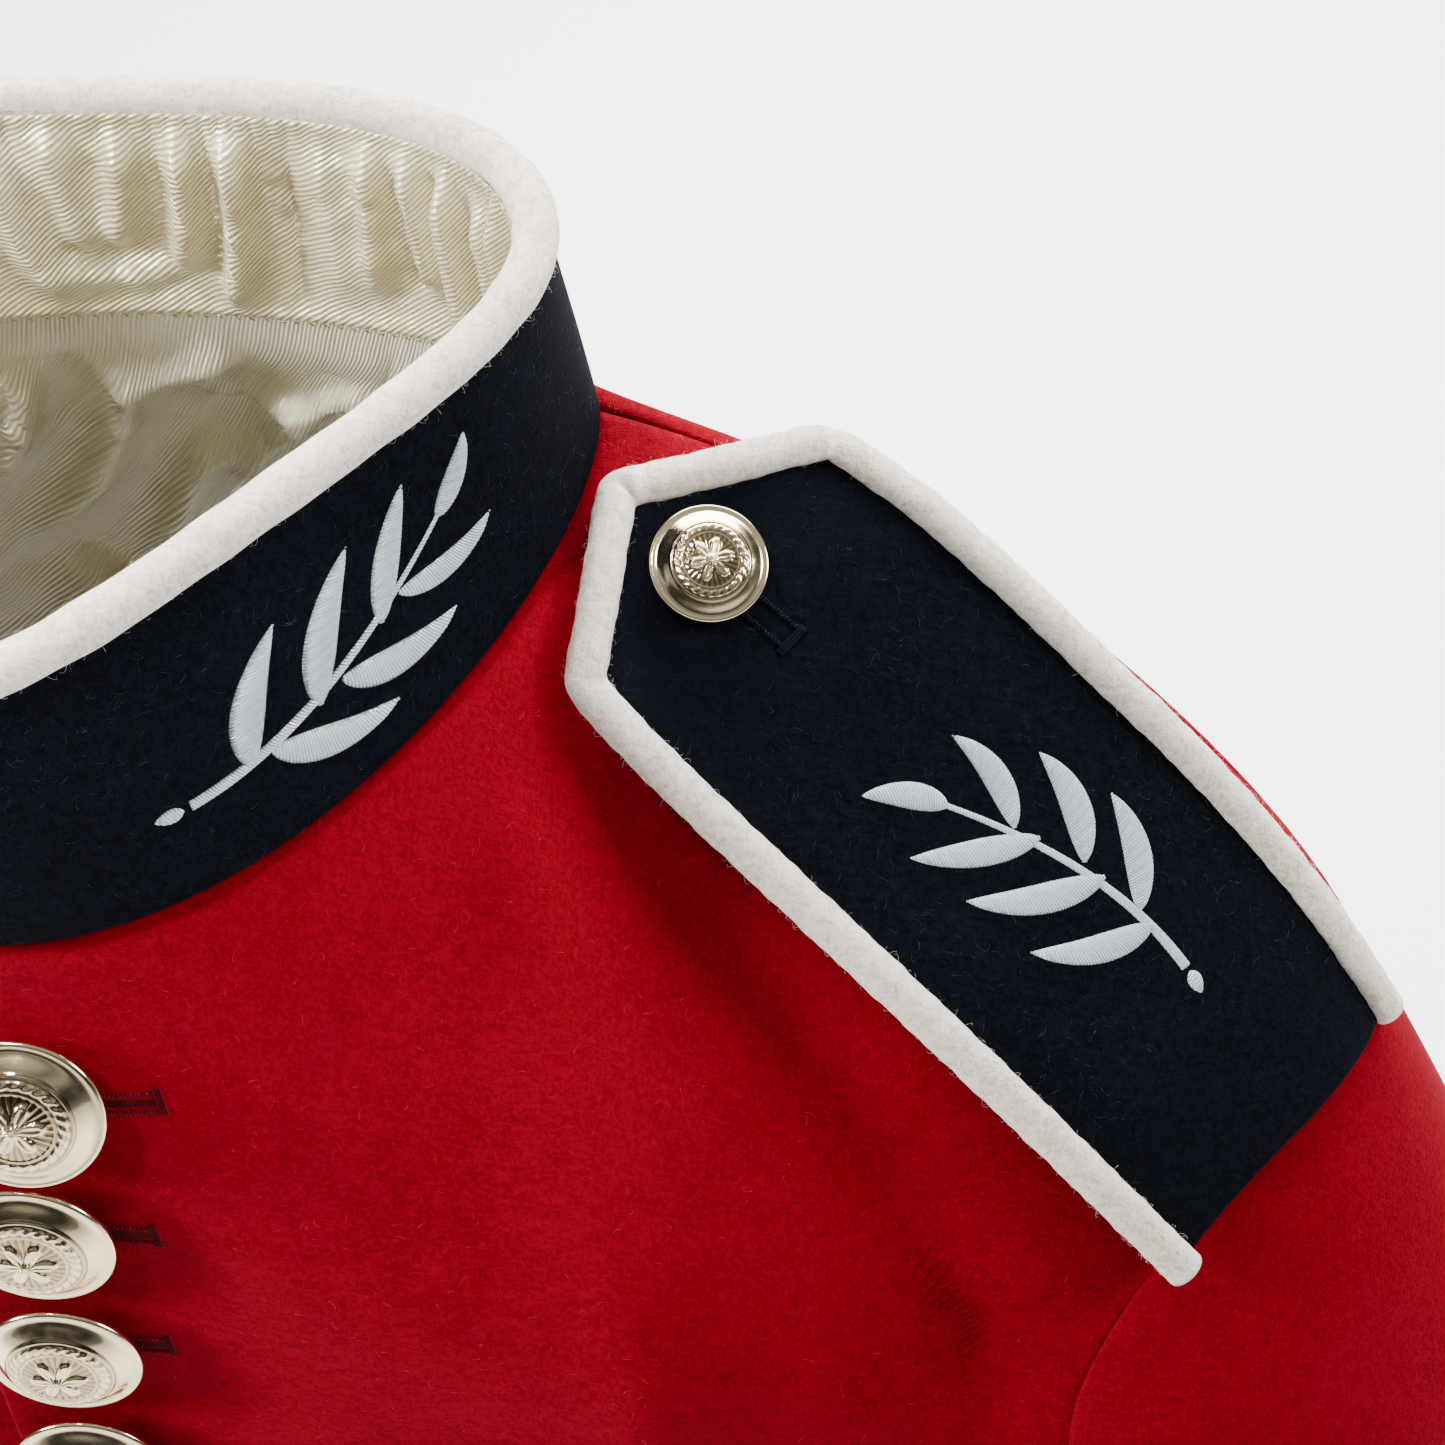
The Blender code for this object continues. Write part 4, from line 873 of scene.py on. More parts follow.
# Shoulder straps: navy wool bands with a pointed neck end, edged on both sides and round
# the point with the same off-white roll; the sleeve end is caught in the armhole seam.
STRAP_WALL = 2.2
STRAP_START = (81.0, 23.6, 7.7)
STRAP_TURN = 33.7
STRAP_SLOPE = 26.7
STRAP_LEAN = 23.2
STRAP_BEND = 26.4
STRAP_LENGTH = 157.0
STRAP_WIDTH = 61.0
STRAP_POINT_FRONT = 16.9
STRAP_POINT_BACK = 20.8
STRAP_GAP = 0.9
STRAP_FLAT = 3.0
STRAP_LIFT = 5.0
STRAP_DROOP = 3.4
STRAP_BOW = 4.5
STRAP_SPREAD = 4.5
STRAP_SHIFT = 1.8
STRAP_END_GAP = 0.5
STRAP_PIPING = 6.4
STRAP_BUTTON_AT = 22.0
STRAP_BEND_FROM = 15.0
STRAP_OVERLAP = 2.4


def foot(p, angle, run):
    """Angle and run of the body point nearest to each p, by repeated flat steps."""
    for _ in range(10):
        s = form(angle, run)
        da = (form(angle + 0.25, run) - form(angle - 0.25, run)) / 0.5
        dr = form(angle, run + 0.5) - form(angle, np.clip(run - 0.5, 0, None))
        dr = dr / (run + 0.5 - np.clip(run - 0.5, 0, None))[..., None]
        e = p - s
        aa, ab, bb = (da * da).sum(-1), (da * dr).sum(-1), (dr * dr).sum(-1)
        ea, eb = (e * da).sum(-1), (e * dr).sum(-1)
        det = aa * bb - ab * ab
        angle = angle + np.clip((bb * ea - ab * eb) / det, -8, 8)
        run = np.clip(run + np.clip((aa * eb - ab * ea) / det, -20, 20), 0, HEM_RUN)
    return angle, run


def strap(length, across):
    """Angle and run on the body under a place of the strap: a flat band, bent evenly along
    its length, dropped square on to the shoulder."""
    length, across = np.broadcast_arrays(np.asarray(length, float), np.asarray(across, float))
    turn, slope, lean = np.radians((STRAP_TURN, STRAP_SLOPE, STRAP_LEAN))
    s = np.array((np.cos(slope) * np.cos(turn), -np.cos(slope) * np.sin(turn), -np.sin(slope)))
    w0 = np.array((np.sin(turn), np.cos(turn), 0.0))
    w = np.cos(lean) * w0 + np.sin(lean) * np.cross(s, w0)
    n = np.cross(s, w)
    bend = np.radians(STRAP_BEND) / STRAP_LENGTH
    share = np.clip((length - STRAP_BEND_FROM) / (STRAP_LENGTH - STRAP_BEND_FROM), 0, 1)
    bow = STRAP_BOW * 4 * share * (1 - share) + STRAP_SPREAD * share ** 2
    place = (across + bow * np.clip((across / (STRAP_WIDTH / 2) + 1) / 2, 0, 1)
             + STRAP_SHIFT * share ** 2)
    p = (np.array(STRAP_START) + s * (np.sin(bend * length) / bend)[..., None]
         - n * ((1 - np.cos(bend * length)) / bend)[..., None] + w * place[..., None])
    return foot(p, 80.0 + place * 0.3, 20.0 + length * 0.8)


def strap_lift(length, across):
    """How far the stiff strap stands off the shoulder: at both sides, more behind its neck
    end and less behind its sleeve end."""
    side = np.abs(across) / (STRAP_WIDTH / 2)
    flat = STRAP_FLAT * side ** 2 * np.clip((length - 10.0) / 30.0, 0, 1)
    back = np.where(across > 0, side ** 2, 0.0)
    droop = STRAP_DROOP * back * np.clip((length - 90.0) / 55.0, 0, 1) ** 1.5
    return flat + STRAP_LIFT * back * np.clip((80.0 - length) / 60.0, 0, 1) - droop


def strap_begin(across, inward):
    """Length at the strap's pointed end, moved in square to its edge by inward."""
    half = STRAP_WIDTH / 2
    slope = np.where(across < 0, STRAP_POINT_FRONT, STRAP_POINT_BACK) / half
    return slope * np.abs(across) + inward * np.sqrt(1 + slope ** 2)


def strap_stop(across):
    """Length where the strap's sleeve end meets the armhole."""
    hole_angle, hole_run = armhole(np.linspace(75, -40, 60))
    length = np.full(np.shape(across), STRAP_LENGTH)
    for _ in range(8):
        a, r = strap(length, across)
        length = length + (np.interp(a, hole_angle, hole_run) - STRAP_END_GAP - r) * 0.9
    return length


def on_strap(length, across, high):
    """Point and outward direction at a height above the strap's underside."""
    a, r = strap(length, across)
    n = form_out(a, r)
    lift = STRAP_GAP + strap_lift(length, across) + high
    return form(a, r) + n * np.asarray(lift)[..., None], n


inner = STRAP_WIDTH / 2 - STRAP_PIPING + STRAP_OVERLAP
V, T = np.meshgrid(inner * (2 * spaced(26, 2 * inner) - 1), spaced(76, 140.0))
begin = strap_begin(V, STRAP_PIPING - STRAP_OVERLAP)
L = begin + (strap_stop(V) - begin) * T
strap_top, strap_n = on_strap(L, V, 0.0)
crown = 0.5 * (1 - (V / inner) ** 4)
for side, turned in BOTH_SIDES:
    piece = shell(side + "_strap_wool", turned(strap_top), turned(strap_n), STRAP_WALL + crown - 0.3,
                  STRAP_WALL, navy, np.stack((V, L), -1))
    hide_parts(side + "_strap")

half = STRAP_WIDTH / 2 - STRAP_PIPING / 2
corners = np.array((
    (float(strap_stop(np.array(-half))), -half),
    (float(strap_begin(np.array(-half), STRAP_PIPING / 2)), -half),
    (float(strap_begin(np.array(0.0), STRAP_PIPING / 2)), 0.0),
    (float(strap_begin(np.array(half), STRAP_PIPING / 2)), half),
    (float(strap_stop(np.array(half))), half),
))
legs = np.concatenate(((0,), np.cumsum(np.linalg.norm(np.diff(corners, axis=0), axis=1))))
place = np.linspace(0, legs[-1], 520)
path = np.stack((np.interp(place, legs, corners[:, 0]), np.interp(place, legs, corners[:, 1])), 1)
smooth = np.exp(-(np.arange(-9, 10) / 3.4) ** 2)
smooth = smooth / smooth.sum()
wide = np.pad(path, ((9, 9), (0, 0)), mode="reflect", reflect_type="odd")
path = np.stack([np.convolve(wide[:, k], smooth, mode="valid") for k in (0, 1)], 1)
centre, n = on_strap(path[:, 0], path[:, 1], STRAP_PIPING * 0.42)
step = unit(np.gradient(centre, axis=0))
side_way = unit(np.cross(n, step))
fold = sum(np.exp(-((place - at) / 1.3) ** 2) for at in legs[1:4])
lumps = 0.05 * (np.sin(place * 0.55) + np.sin(place * 0.9 + 1) + np.sin(place * 1.7 + 2))
for side, turned in BOTH_SIDES:
    piece = roll(side + "_strap_roll", turned(centre), turned(side_way), turned(n),
                 STRAP_PIPING / 2 + lumps + 0.3 * fold, STRAP_PIPING * 0.42 + lumps - 0.9 * fold,
                 20, off_white, 0.15)
    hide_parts(side + "_strap_piping")


# Buttons: stamped domes of pale gilt metal with a rolled edge, each sewn on by its shank. A
# rope ring between two thin lines and a six-petal rosette on fine rays stand on the dome.
# Radius and height are shares of the button's radius.
FRONT_BUTTON_R = 12.7
STRAP_BUTTON_R = 9.2
BUTTON_PITCH = 29.5
BUTTON_GROUP_GAP = 16.0
FIRST_BUTTON = 26.0
BUTTON_TILT = 10.0
FIRST_BUTTON_SHIFT = 2.0
BUTTON_COUNT = 10
BUTTON_GROUP = 5
POLISHED = 0.20
BUTTON_COLUMNS = ("place", "radius", "height")
BUTTON = (
    (0.00, 0.00, 0.00), (0.06, 0.19, 0.00), (0.09, 0.20, 0.02), (0.15, 0.20, 0.22),
    (0.20, 0.30, 0.25), (0.34, 0.90, 0.27), (0.38, 0.975, 0.29), (0.41, 1.00, 0.335),
    (0.44, 0.985, 0.385), (0.465, 0.95, 0.40), (0.485, 0.925, 0.385), (0.50, 0.90, 0.39),
    (0.56, 0.80, 0.455), (0.64, 0.68, 0.53), (0.74, 0.52, 0.59), (0.86, 0.30, 0.635),
    (1.00, 0.00, 0.655),
)
gilt, shader, w = finish("pale_gilt", {"Metallic": 1.0, "Specular IOR Level": 0.5})
raised = w.cloth()[1] * 1000.0
dull = w.place().noise(420.0, 3.0)
grain = w.place().noise(3200.0, 1.0)
tone = w.mix(raised.limited(-0.02, 0.16), (0.14, 0.075, 0.025, 1.0), (0.86, 0.71, 0.44, 1.0))
join(w, shader, {
    "Base Color": tone,
    "Roughness": 0.13 + dull.limited(0.45, 0.8) * 0.12,
    "Normal": grain.bump(0.06, 0.0001),
})


def relief(share, turn):
    """Height of the stamped figure as a share of the radius: two thin lines, a rope between
    them, |sin(13 turn + slant)|^0.5, six petals of length 0.40 |cos 3 turn|^0.6 round a boss, and
    rays |sin 15 turn| in the ground."""
    line = (np.exp(-((share - 0.66) / 0.014) ** 2) + np.exp(-((share - 0.475) / 0.014) ** 2)) * 0.032
    band = np.clip((0.635 - share) / 0.02, 0, 1) * np.clip((share - 0.50) / 0.02, 0, 1)
    rope = band * 0.044 * np.sqrt(np.abs(np.sin(13 * turn + 22 * (share - 0.57))))
    tip = 0.40 * np.abs(np.cos(3 * turn)) ** 0.6
    petal = np.clip((tip - share) / 0.06, 0, 1)
    petal = petal * petal * (3 - 2 * petal) * 0.050
    vein = 0.016 * np.exp(-((np.abs(np.cos(3 * turn)) - 1) / 0.02) ** 2) * (share < 0.32)
    boss = 0.050 * np.clip(1 - (share / 0.10) ** 2, 0, 1)
    rays = 0.014 * np.abs(np.sin(15 * turn)) * np.clip((0.465 - share) / 0.02, 0, 1)
    return line + rope + np.maximum(petal - vein, rays) + boss


def button(name, at, normal, upward, radius, gap, fine):
    """A turned profile with the figure stamped in it, standing on the cloth at a point."""
    z = unit(normal)
    x = unit(np.cross(upward, z))
    y = np.cross(z, x)
    count = 90 if fine else 60
    low = np.linspace(0.03, 0.52, 22 if fine else 18)
    high = np.linspace(0.54, 0.985, 38 if fine else 22)
    q = np.concatenate((low, high))
    profile = curve(BUTTON, q)
    w = np.linspace(0, 2 * np.pi, count, endpoint=False)
    rad = np.maximum(profile[:, :1], 0.004)
    stamp = relief(rad, w[None]) * (q > 0.55)[:, None]
    tall = profile[:, 1:2] + stamp
    round_it = x * np.cos(w)[None, :, None] + y * np.sin(w)[None, :, None]
    ring = at + z * (gap + tall * radius)[..., None] + round_it * (rad * radius)[..., None]
    grid = np.arange(len(q) * count).reshape(-1, count)
    ends = np.stack((at + z * gap, at + z * (gap + (BUTTON[-1][2] + 0.065) * radius)))
    worn_at = np.where((rad > 0.70) | (q < 0.55)[:, None], POLISHED, stamp * 5)
    uv = np.stack(np.broadcast_arrays(w[None], worn_at), -1).reshape(-1, 2)
    uv = np.concatenate((uv, np.array(((0.0, POLISHED), (0.0, POLISHED)))))
    return make(name, np.concatenate((ring.reshape(-1, 3), ends)), ring_faces(grid), uv, gilt,
                end_fans(grid))


upright = np.array((0.0, 0.0, 1.0))
button_places = []
for k in range(BUTTON_COUNT):
    gap = BUTTON_GROUP_GAP if k >= BUTTON_GROUP else 0.0
    run = np.array(FIRST_BUTTON + k * BUTTON_PITCH + gap)
    a = turn_by(np.array(0.0), run, -1.5 - 6.5 * np.clip(k / 3.0, 0, 1))
    if k == 0:
        a, run = turn_by(a, run, FIRST_BUTTON_SHIFT), run + FIRST_BUTTON_SHIFT
    tilt = np.radians(BUTTON_TILT if k == 0 else 0.0)
    n = form_out(a, run)
    lean = n * np.cos(tilt) + np.array((0.25, 0.0, 1.0)) * np.sin(tilt)
    name = "front_button_%02d" % (k + 1)
    piece = button(name + "_metal", form(a, run), lean, upright, FRONT_BUTTON_R,
                   0.25 + FRONT_BUTTON_R * 0.2 * np.sin(tilt), k < 4)
    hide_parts(name)
    button_places.append((a, run))

p, n = on_strap(np.array(STRAP_BUTTON_AT), np.array(0.0), STRAP_WALL)
for side, turned in BOTH_SIDES:
    piece = button(side + "_strap_button_metal", turned(p), turned(n), upright, STRAP_BUTTON_R,
                   0.25, True)
    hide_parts(side + "_strap_button")


# Worked buttonholes: a slit with a row of twisted-silk knots along each side and a bar of
# stitches across its end. Dark crimson on the left front, dark navy on the straps. Each
# front slit is a thin near-black red sheet on the cloth: painted shade in the opening.
KNOT_PITCH = 0.62
HOLE_HALF = 1.65
HOLE_END = (18.2, 16.6, 15.4)
HOLE_DROP = (2.0, 2.7, 2.1)
HOLE_START = 3.0
STRAP_HOLE = (4.0, 16.5)


def thread(name, colour, light, rough):
    """Silk or cotton thread: fine twist lines in the colour and a soft bump."""
    material, shader, w = finish(name, {"Roughness": rough, "Specular IOR Level": 0.08})
    twist = w.place().noise(2600.0)
    join(w, shader, {"Base Color": w.mix(twist.limited(0.35, 0.65), colour, light),
                     "Normal": twist.bump(0.4, 0.0002)})
    return material


def knots(name, at, lie, n, long, wide, tall, material):
    """Small rounded stitches, one at each point: a ball of six by four points drawn out
    along lie, across it and along n."""
    u = np.linspace(0, 2 * np.pi, 6, endpoint=False)
    v = np.linspace(0.4, np.pi - 0.4, 4)
    cross = unit(np.cross(n, lie))
    lie = np.cross(cross, n)
    ring = (lie[:, None, None] * (np.cos(u)[None, None, :, None] * np.sin(v)[None, :, None, None])
            * long + cross[:, None, None] * (np.sin(u)[None, None, :, None]
            * np.sin(v)[None, :, None, None]) * wide
            + n[:, None, None] * np.cos(v)[None, :, None, None] * tall + at[:, None, None])
    count = len(at)
    grid = np.arange(count * 24).reshape(count, 4, 6)
    ends = [np.stack((end[:, 0], end[:, j + a], end[:, j + 1 - a]), 1)
            for a, end in ((0, grid[:, 0]), (1, grid[:, -1])) for j in range(1, 5)]
    return make(name, ring.reshape(-1, 3), ring_faces(grid), np.zeros((count * 24, 2)), material,
                np.concatenate(ends).tolist())


def hole_plan(start, stop):
    """Places of the knots of one buttonhole, along it and across it, and which way each
    lies: two rows and a bar of three columns at the end."""
    s = np.arange(start, stop, KNOT_PITCH)
    rows = [np.stack((s + 0.1 * k, np.full(len(s), k * HOLE_HALF), np.full(len(s), 0.45 * k)), 1)
            for k in (-1, 1)]
    y = np.arange(-HOLE_HALF * 1.35, HOLE_HALF * 1.36, KNOT_PITCH * 0.75)
    bars = [np.stack((np.full(len(y), stop + 0.45 * k), y, np.full(len(y), 0.15)), 1)
            for k in range(3)]
    return np.concatenate(rows + bars)


crimson = thread("crimson_silk", (0.07, 0.0, 0.006, 1.0), (0.19, 0.002, 0.018, 1.0), 0.7)
# painted shade: each slit is a thin near-black red sheet laid where the buttonhole's opening lies in
# shadow
slit_painted_shade = thread("slit_painted_shade", (0.025, 0.0, 0.001, 1.0), (0.045, 0.0, 0.002, 1.0), 0.9)
spot, lie, out_n, slit_shade_rows = [], [], [], []
for k, (a, run) in enumerate(button_places):
    end = HOLE_END[min(k, 2)]
    plan = hole_plan(HOLE_START, end)
    angle = turn_by(np.full(len(plan), float(a)), np.full(len(plan), float(run)), plan[:, 0])
    drop = HOLE_DROP[min(k, 2)]
    level = run + plan[:, 1] + drop
    n = form_out(angle, level)
    right = unit(form(angle + 0.3, level) - form(angle - 0.3, level))
    below = np.cross(right, n)
    spot.append(body(angle, level) + n * 0.12)
    lie.append(right * np.sin(plan[:, 2:3]) + below * np.cos(plan[:, 2:3]))
    out_n.append(n)
    # the slit's sheet of painted shade, a hair above the cloth
    s, t = np.meshgrid(np.linspace(1.0, end, 14), np.linspace(-0.6, 0.6, 5))
    angle = turn_by(np.full(s.shape, float(a)), np.full(s.shape, float(run)), s)
    n = form_out(angle, run + t + drop)
    slit_shade_rows.append(body(angle, run + t + drop) + n * (0.07 - 0.04 * np.cos(t * 2))[..., None])
knots("front_buttonhole_knots", np.concatenate(spot), np.concatenate(lie),
      np.concatenate(out_n), 0.62, 0.25, 0.30, crimson)
# one sheet of painted shade for each slit
faces = np.concatenate([quads(5, 14, 70 * k) for k in range(BUTTON_COUNT)])
make("front_buttonhole_slits", np.concatenate([x.reshape(-1, 3) for x in slit_shade_rows]),
     faces[:, ::-1], np.zeros((BUTTON_COUNT * 70, 2)), slit_painted_shade)

dark_silk = thread("navy_silk", (0.002, 0.003, 0.006, 1.0), (0.012, 0.014, 0.024, 1.0), 0.45)
plan = hole_plan(*STRAP_HOLE)
L2 = STRAP_BUTTON_AT + plan[:, 0]
p, n = on_strap(L2, plan[:, 1] * 1.1, STRAP_WALL + 0.32)
p2, _ = on_strap(L2 + 0.5, plan[:, 1] * 1.1, STRAP_WALL + 0.32)
ahead = unit(p2 - p)
across_way = np.cross(n, ahead)
lie2 = ahead * np.sin(plan[:, 2:3]) + across_way * np.cos(plan[:, 2:3])
for side, turned in BOTH_SIDES:
    knots(side + "_strap_buttonhole", turned(p), turned(lie2), turned(n), 0.62, 0.30, 0.34,
          dark_silk)


# Badges: a leaf sprig in white satin stitch, one on each side of the collar and one on each
# strap. Each leaf is padded, and its threads lie slantwise across it.
THREAD_PITCH = 0.62
LEAF_COLUMNS = ("x0", "y0", "x1", "y1", "x2", "y2", "half_width")
COLLAR_SPRIG_AT = (46.0, 0.475)
COLLAR_SPRIG_TURN = 8.0
STRAP_SPRIG_AT = 94.0
SPRIG = (
    (-26, -4, -4, -7, 24, 5, 0.75), (-17, -5, -15, 4, -5, 11, 2.5), (-14, -5, -8, -13, 2, -15, 2.5),
    (-6, -5, -2, 5, 8, 12, 2.6), (-2, -4.5, 5, -12, 15, -12, 2.6), (6, -2.5, 11, 6, 19, 13, 2.4),
    (10, -1, 18, -7, 27, -5, 2.3), (20, 3.5, 26, 5, 31, 11, 2.3), (-27, -4, -29, -3.5, -31, -3, 1.3),
)


def satin_thread():
    """White embroidery cotton: close threads slantwise over each leaf, sin(2 pi s / 0.42 mm);
    the wave paints shade into the grooves between threads, and a noise adds faint random tone."""
    material, shader, w = finish("white_embroidery", {"Roughness": 0.5, "Sheen Weight": 0.2,
                                                      "Specular IOR Level": 0.5})
    s, t = w.cloth()
    wave = (s * 0.9 + t * 0.45) * (2 * math.pi / 0.00042)
    line = w.maths("SINE", wave) * 0.5 + 0.5
    # painted shade: the thread wave darkens the grooves between threads; the noise gives random tone
    shade = line * 0.6 + w.place().noise(700.0) * 0.4
    colour = shade.ramp((0.1, (0.55, 0.63, 0.74)), (0.55, (0.86, 0.92, 0.98)),
                        (0.9, (0.95, 0.97, 1.0)))
    join(w, shader, {"Base Color": colour, "Normal": line.bump(1.0, 0.0004)})
    return material


white_thread = satin_thread()


def sprig(name, surface):
    """All leaves of a sprig: each follows a bent line, half_width * sin(pi u^0.8)^0.7 wide
    and domed up to 0.7 mm; surface turns a flat place and a height into a point."""
    u = np.linspace(0.0, 1.0, 150)
    v = np.linspace(-1, 1, 9)
    U, V = np.meshgrid(u, v, indexing="ij")
    points, uvs, faces, extra = [], [], [], []
    start = 0
    for x0, y0, x1, y1, x2, y2, half_width in SPRIG:
        x = (1 - U) ** 2 * x0 + 2 * U * (1 - U) * x1 + U ** 2 * x2
        y = (1 - U) ** 2 * y0 + 2 * U * (1 - U) * y1 + U ** 2 * y2
        dx = 2 * (1 - U) * (x1 - x0) + 2 * U * (x2 - x1)
        dy = 2 * (1 - U) * (y1 - y0) + 2 * U * (y2 - y1)
        size = np.hypot(dx, dy)
        wide = half_width * np.maximum(np.sin(np.pi * np.clip(U, 0.012, 0.988) ** 0.8), 0.02) ** 0.7
        if half_width < 1:
            wide = half_width * (1.25 - 0.6 * U)
        ragged = 1 + 0.035 * np.sin(U * 310) * V ** 2
        x, y = x - dy / size * wide * V * ragged, y + dx / size * wide * V * ragged
        dome = 0.62 * np.sqrt(np.clip(1 - V ** 2, 0, 1)) * np.clip(wide / 1.2, 0.3, 1)
        slant = U * size.mean() + 0.5 * np.abs(V) * wide
        dome = dome + 0.09 * np.sin(2 * np.pi * slant / THREAD_PITCH) * np.clip(1.1 - V ** 2, 0, 1)
        dome[:, (0, -1)] = -0.04
        index = start + np.arange(u.size * v.size).reshape(u.size, v.size)
        left, right = index[:, 0], index[:, -1]
        start += index.size
        points.append(surface(x, y, dome - 0.12).reshape(-1, 3))
        uvs.append(np.stack((U * size.mean(), wide * V), -1).reshape(-1, 2))
        faces += [quads(u.size, v.size, index[0, 0]),
                  np.stack((right[:-1], left[:-1], left[1:], right[1:]), 1)]
        extra += [(end[j], end[j + 1], end[0]) for end in (index[0, ::-1], index[-1])
                  for j in range(1, v.size - 1)]
    return make(name, np.concatenate(points), np.concatenate(faces), np.concatenate(uvs),
                white_thread, extra)


def collar_place(flip):
    """Flat places of the collar's sprig laid on the collar's face, tip to the back."""
    def laid(x, y, high):
        """Length round the collar, height up it, and height off it."""
        turn = np.radians(COLLAR_SPRIG_TURN)
        s = x * np.cos(turn) - y * np.sin(turn)
        t = x * np.sin(turn) + y * np.cos(turn)
        angle = COLLAR_SPRIG_AT[0] + s / 1.28
        level = COLLAR_SPRIG_AT[1] + t / RIM_LENGTH
        p = collar(angle, level) + collar_out(angle, level) * (COLLAR_PROUD + high)[..., None]
        return mirror(p) if flip else p
    return laid


def strap_place(flip):
    """Flat places of the strap's sprig laid along the strap, tip to the neck."""
    def laid(x, y, high):
        """Length along the strap, place across it, and height off it."""
        p, _ = on_strap(STRAP_SPRIG_AT - x, -y * 0.95, STRAP_WALL + 0.2 + high)
        return mirror(p) if flip else p
    return laid


for side, flip in (("left", False), ("right", True)):
    sprig(side + "_collar_sprig", collar_place(flip))
    sprig(side + "_strap_sprig", strap_place(flip))


# Felling stitches: small slanting stitches of buff cotton, sewn by hand. They hold the
# collar's lining down on the body's linings, all round the inside of the neck.
stitch_angle = np.arange(12, 348, 1.9)
at = (collar(stitch_angle, (LINING_SEAM_UP - 0.2) / RIM_LENGTH)
      - collar_out(stitch_angle, 0.0) * 5.1)
n = -collar_out(stitch_angle, 0.0)
lie = unit(collar(stitch_angle + 1, 0.0) - collar(stitch_angle, 0.0)) + np.array((0, 0, 0.7))
cotton = thread("felling_cotton", (0.30, 0.25, 0.14, 1.0), (0.55, 0.48, 0.30, 1.0), 0.6)
knots("lining_stitches", at, unit(lie), n, 0.75, 0.13, 0.16, cotton)


# Loose fibres: fine wool hairs that have worked out of the milled cloth. They stand close on
# the pipings and sparser on the flat cloth, each in the colour of its own piece.
def hairs(name, root, n, seed, long, thick, material, rise):
    """One hair at each root: a three-sided thread of four rings that leaves the cloth and
    curls back, each its own length and turn."""
    dice = np.random.default_rng(seed)
    count = len(root)
    flat = unit(np.cross(n, unit(dice.normal(size=(count, 3)))))
    other = np.cross(n, flat)
    size = long * dice.uniform(0.45, 1.5, count)[:, None, None]
    curl = dice.uniform(-1.6, 1.6, count)[:, None, None]
    high = rise * dice.uniform(0.3, 1.3, count)[:, None, None]
    t = np.linspace(0, 1, 4)[None, :, None]
    line = (root[:, None] - n[:, None] * 0.08 + flat[:, None] * size * np.sin(t * 1.3)
            + other[:, None] * size * curl * 0.5 * t ** 2
            + n[:, None] * size * high * np.sin(t * np.pi * 0.8))
    way = unit(np.gradient(line, axis=1))
    side = unit(np.cross(way, n[:, None]))
    over = np.cross(side, way)
    w = np.linspace(0, 2 * np.pi, 3, endpoint=False)
    thin = thick * (1 - 0.6 * t)
    ring = (line[:, :, None] + side[:, :, None] * (np.cos(w)[None, None, :, None] * thin[..., None])
            + over[:, :, None] * (np.sin(w)[None, None, :, None] * thin[..., None]))
    grid = np.arange(count * 12).reshape(count, 4, 3)
    ends = np.concatenate((grid[:, 0, ::-1], grid[:, -1])).tolist()
    return make(name, ring.reshape(-1, 3), ring_faces(grid), np.zeros((count * 12, 2)), material,
                ends)


def hair_finish(name, dark, light):
    """Wool fibre: a soft colour that changes a little along each hair."""
    material, shader, w = finish(name, {"Roughness": 0.7, "Sheen Weight": 0.2})
    vary = w.place().noise(300.0)
    join(w, shader, {"Base Color": w.mix(vary.limited(0.35, 0.65), dark, light)})
    return material


white_hair = hair_finish("off_white_fibre", (0.62, 0.57, 0.52, 1.0), (0.9, 0.87, 0.84, 1.0))
navy_hair = hair_finish("navy_fibre", (0.006, 0.008, 0.016, 1.0), (0.05, 0.06, 0.08, 1.0))
red_hair = hair_finish("scarlet_fibre", (0.40, 0.0, 0.006, 1.0), (0.75, 0.02, 0.04, 1.0))
dice = np.random.default_rng(41)

count = 2000
a = dice.uniform(1, 359, count)
w = dice.uniform(0, 2 * np.pi, count)
out = collar_out(a, np.ones(count))
rise = unit(collar(a, np.ones(count)) - collar(a, np.full(count, 0.9)))
n = out * np.cos(w)[:, None] + rise * np.sin(w)[:, None]
p = (collar(a, np.ones(count)) - out * 0.1 + out * (np.cos(w) * (PIPING_WIDE - 0.1))[:, None]
     + rise * (np.sin(w) * (PIPING_HIGH - 0.1))[:, None])
hairs("collar_piping_fibres", p, n, 42, 0.9, 0.016, white_hair, 0.7)

count = 1400
k = dice.integers(4, 516, count)
w = dice.uniform(-0.2, np.pi + 0.2, count)
n = side_way[k] * np.cos(w)[:, None] + unit(np.cross(step, side_way))[k] * np.sin(w)[:, None]
p = centre[k] + n * np.stack((np.hypot(np.cos(w) * 3.2, np.sin(w) * 2.7),), 1)
for side, turned in BOTH_SIDES:
    hairs(side + "_strap_piping_fibres", turned(p), turned(n), 43, 0.9, 0.016, white_hair,
          0.7)

count = 1700
a = dice.uniform(1, 359, count)
u = dice.uniform(0.02, 0.93, count)
n = collar_out(a, u)
hairs("collar_fibres", collar(a, u) + n * COLLAR_PROUD, n, 44, 1.5, 0.014, navy_hair,
      0.25)
count = 500
v = dice.uniform(-inner, inner, count)
length = strap_begin(v, STRAP_PIPING + 1) + dice.uniform(0, 1, count) * 118
p, n = on_strap(length, v, STRAP_WALL + 0.2)
for side, turned in BOTH_SIDES:
    hairs(side + "_strap_fibres", turned(p), turned(n), 45, 1.5, 0.014, navy_hair, 0.25)

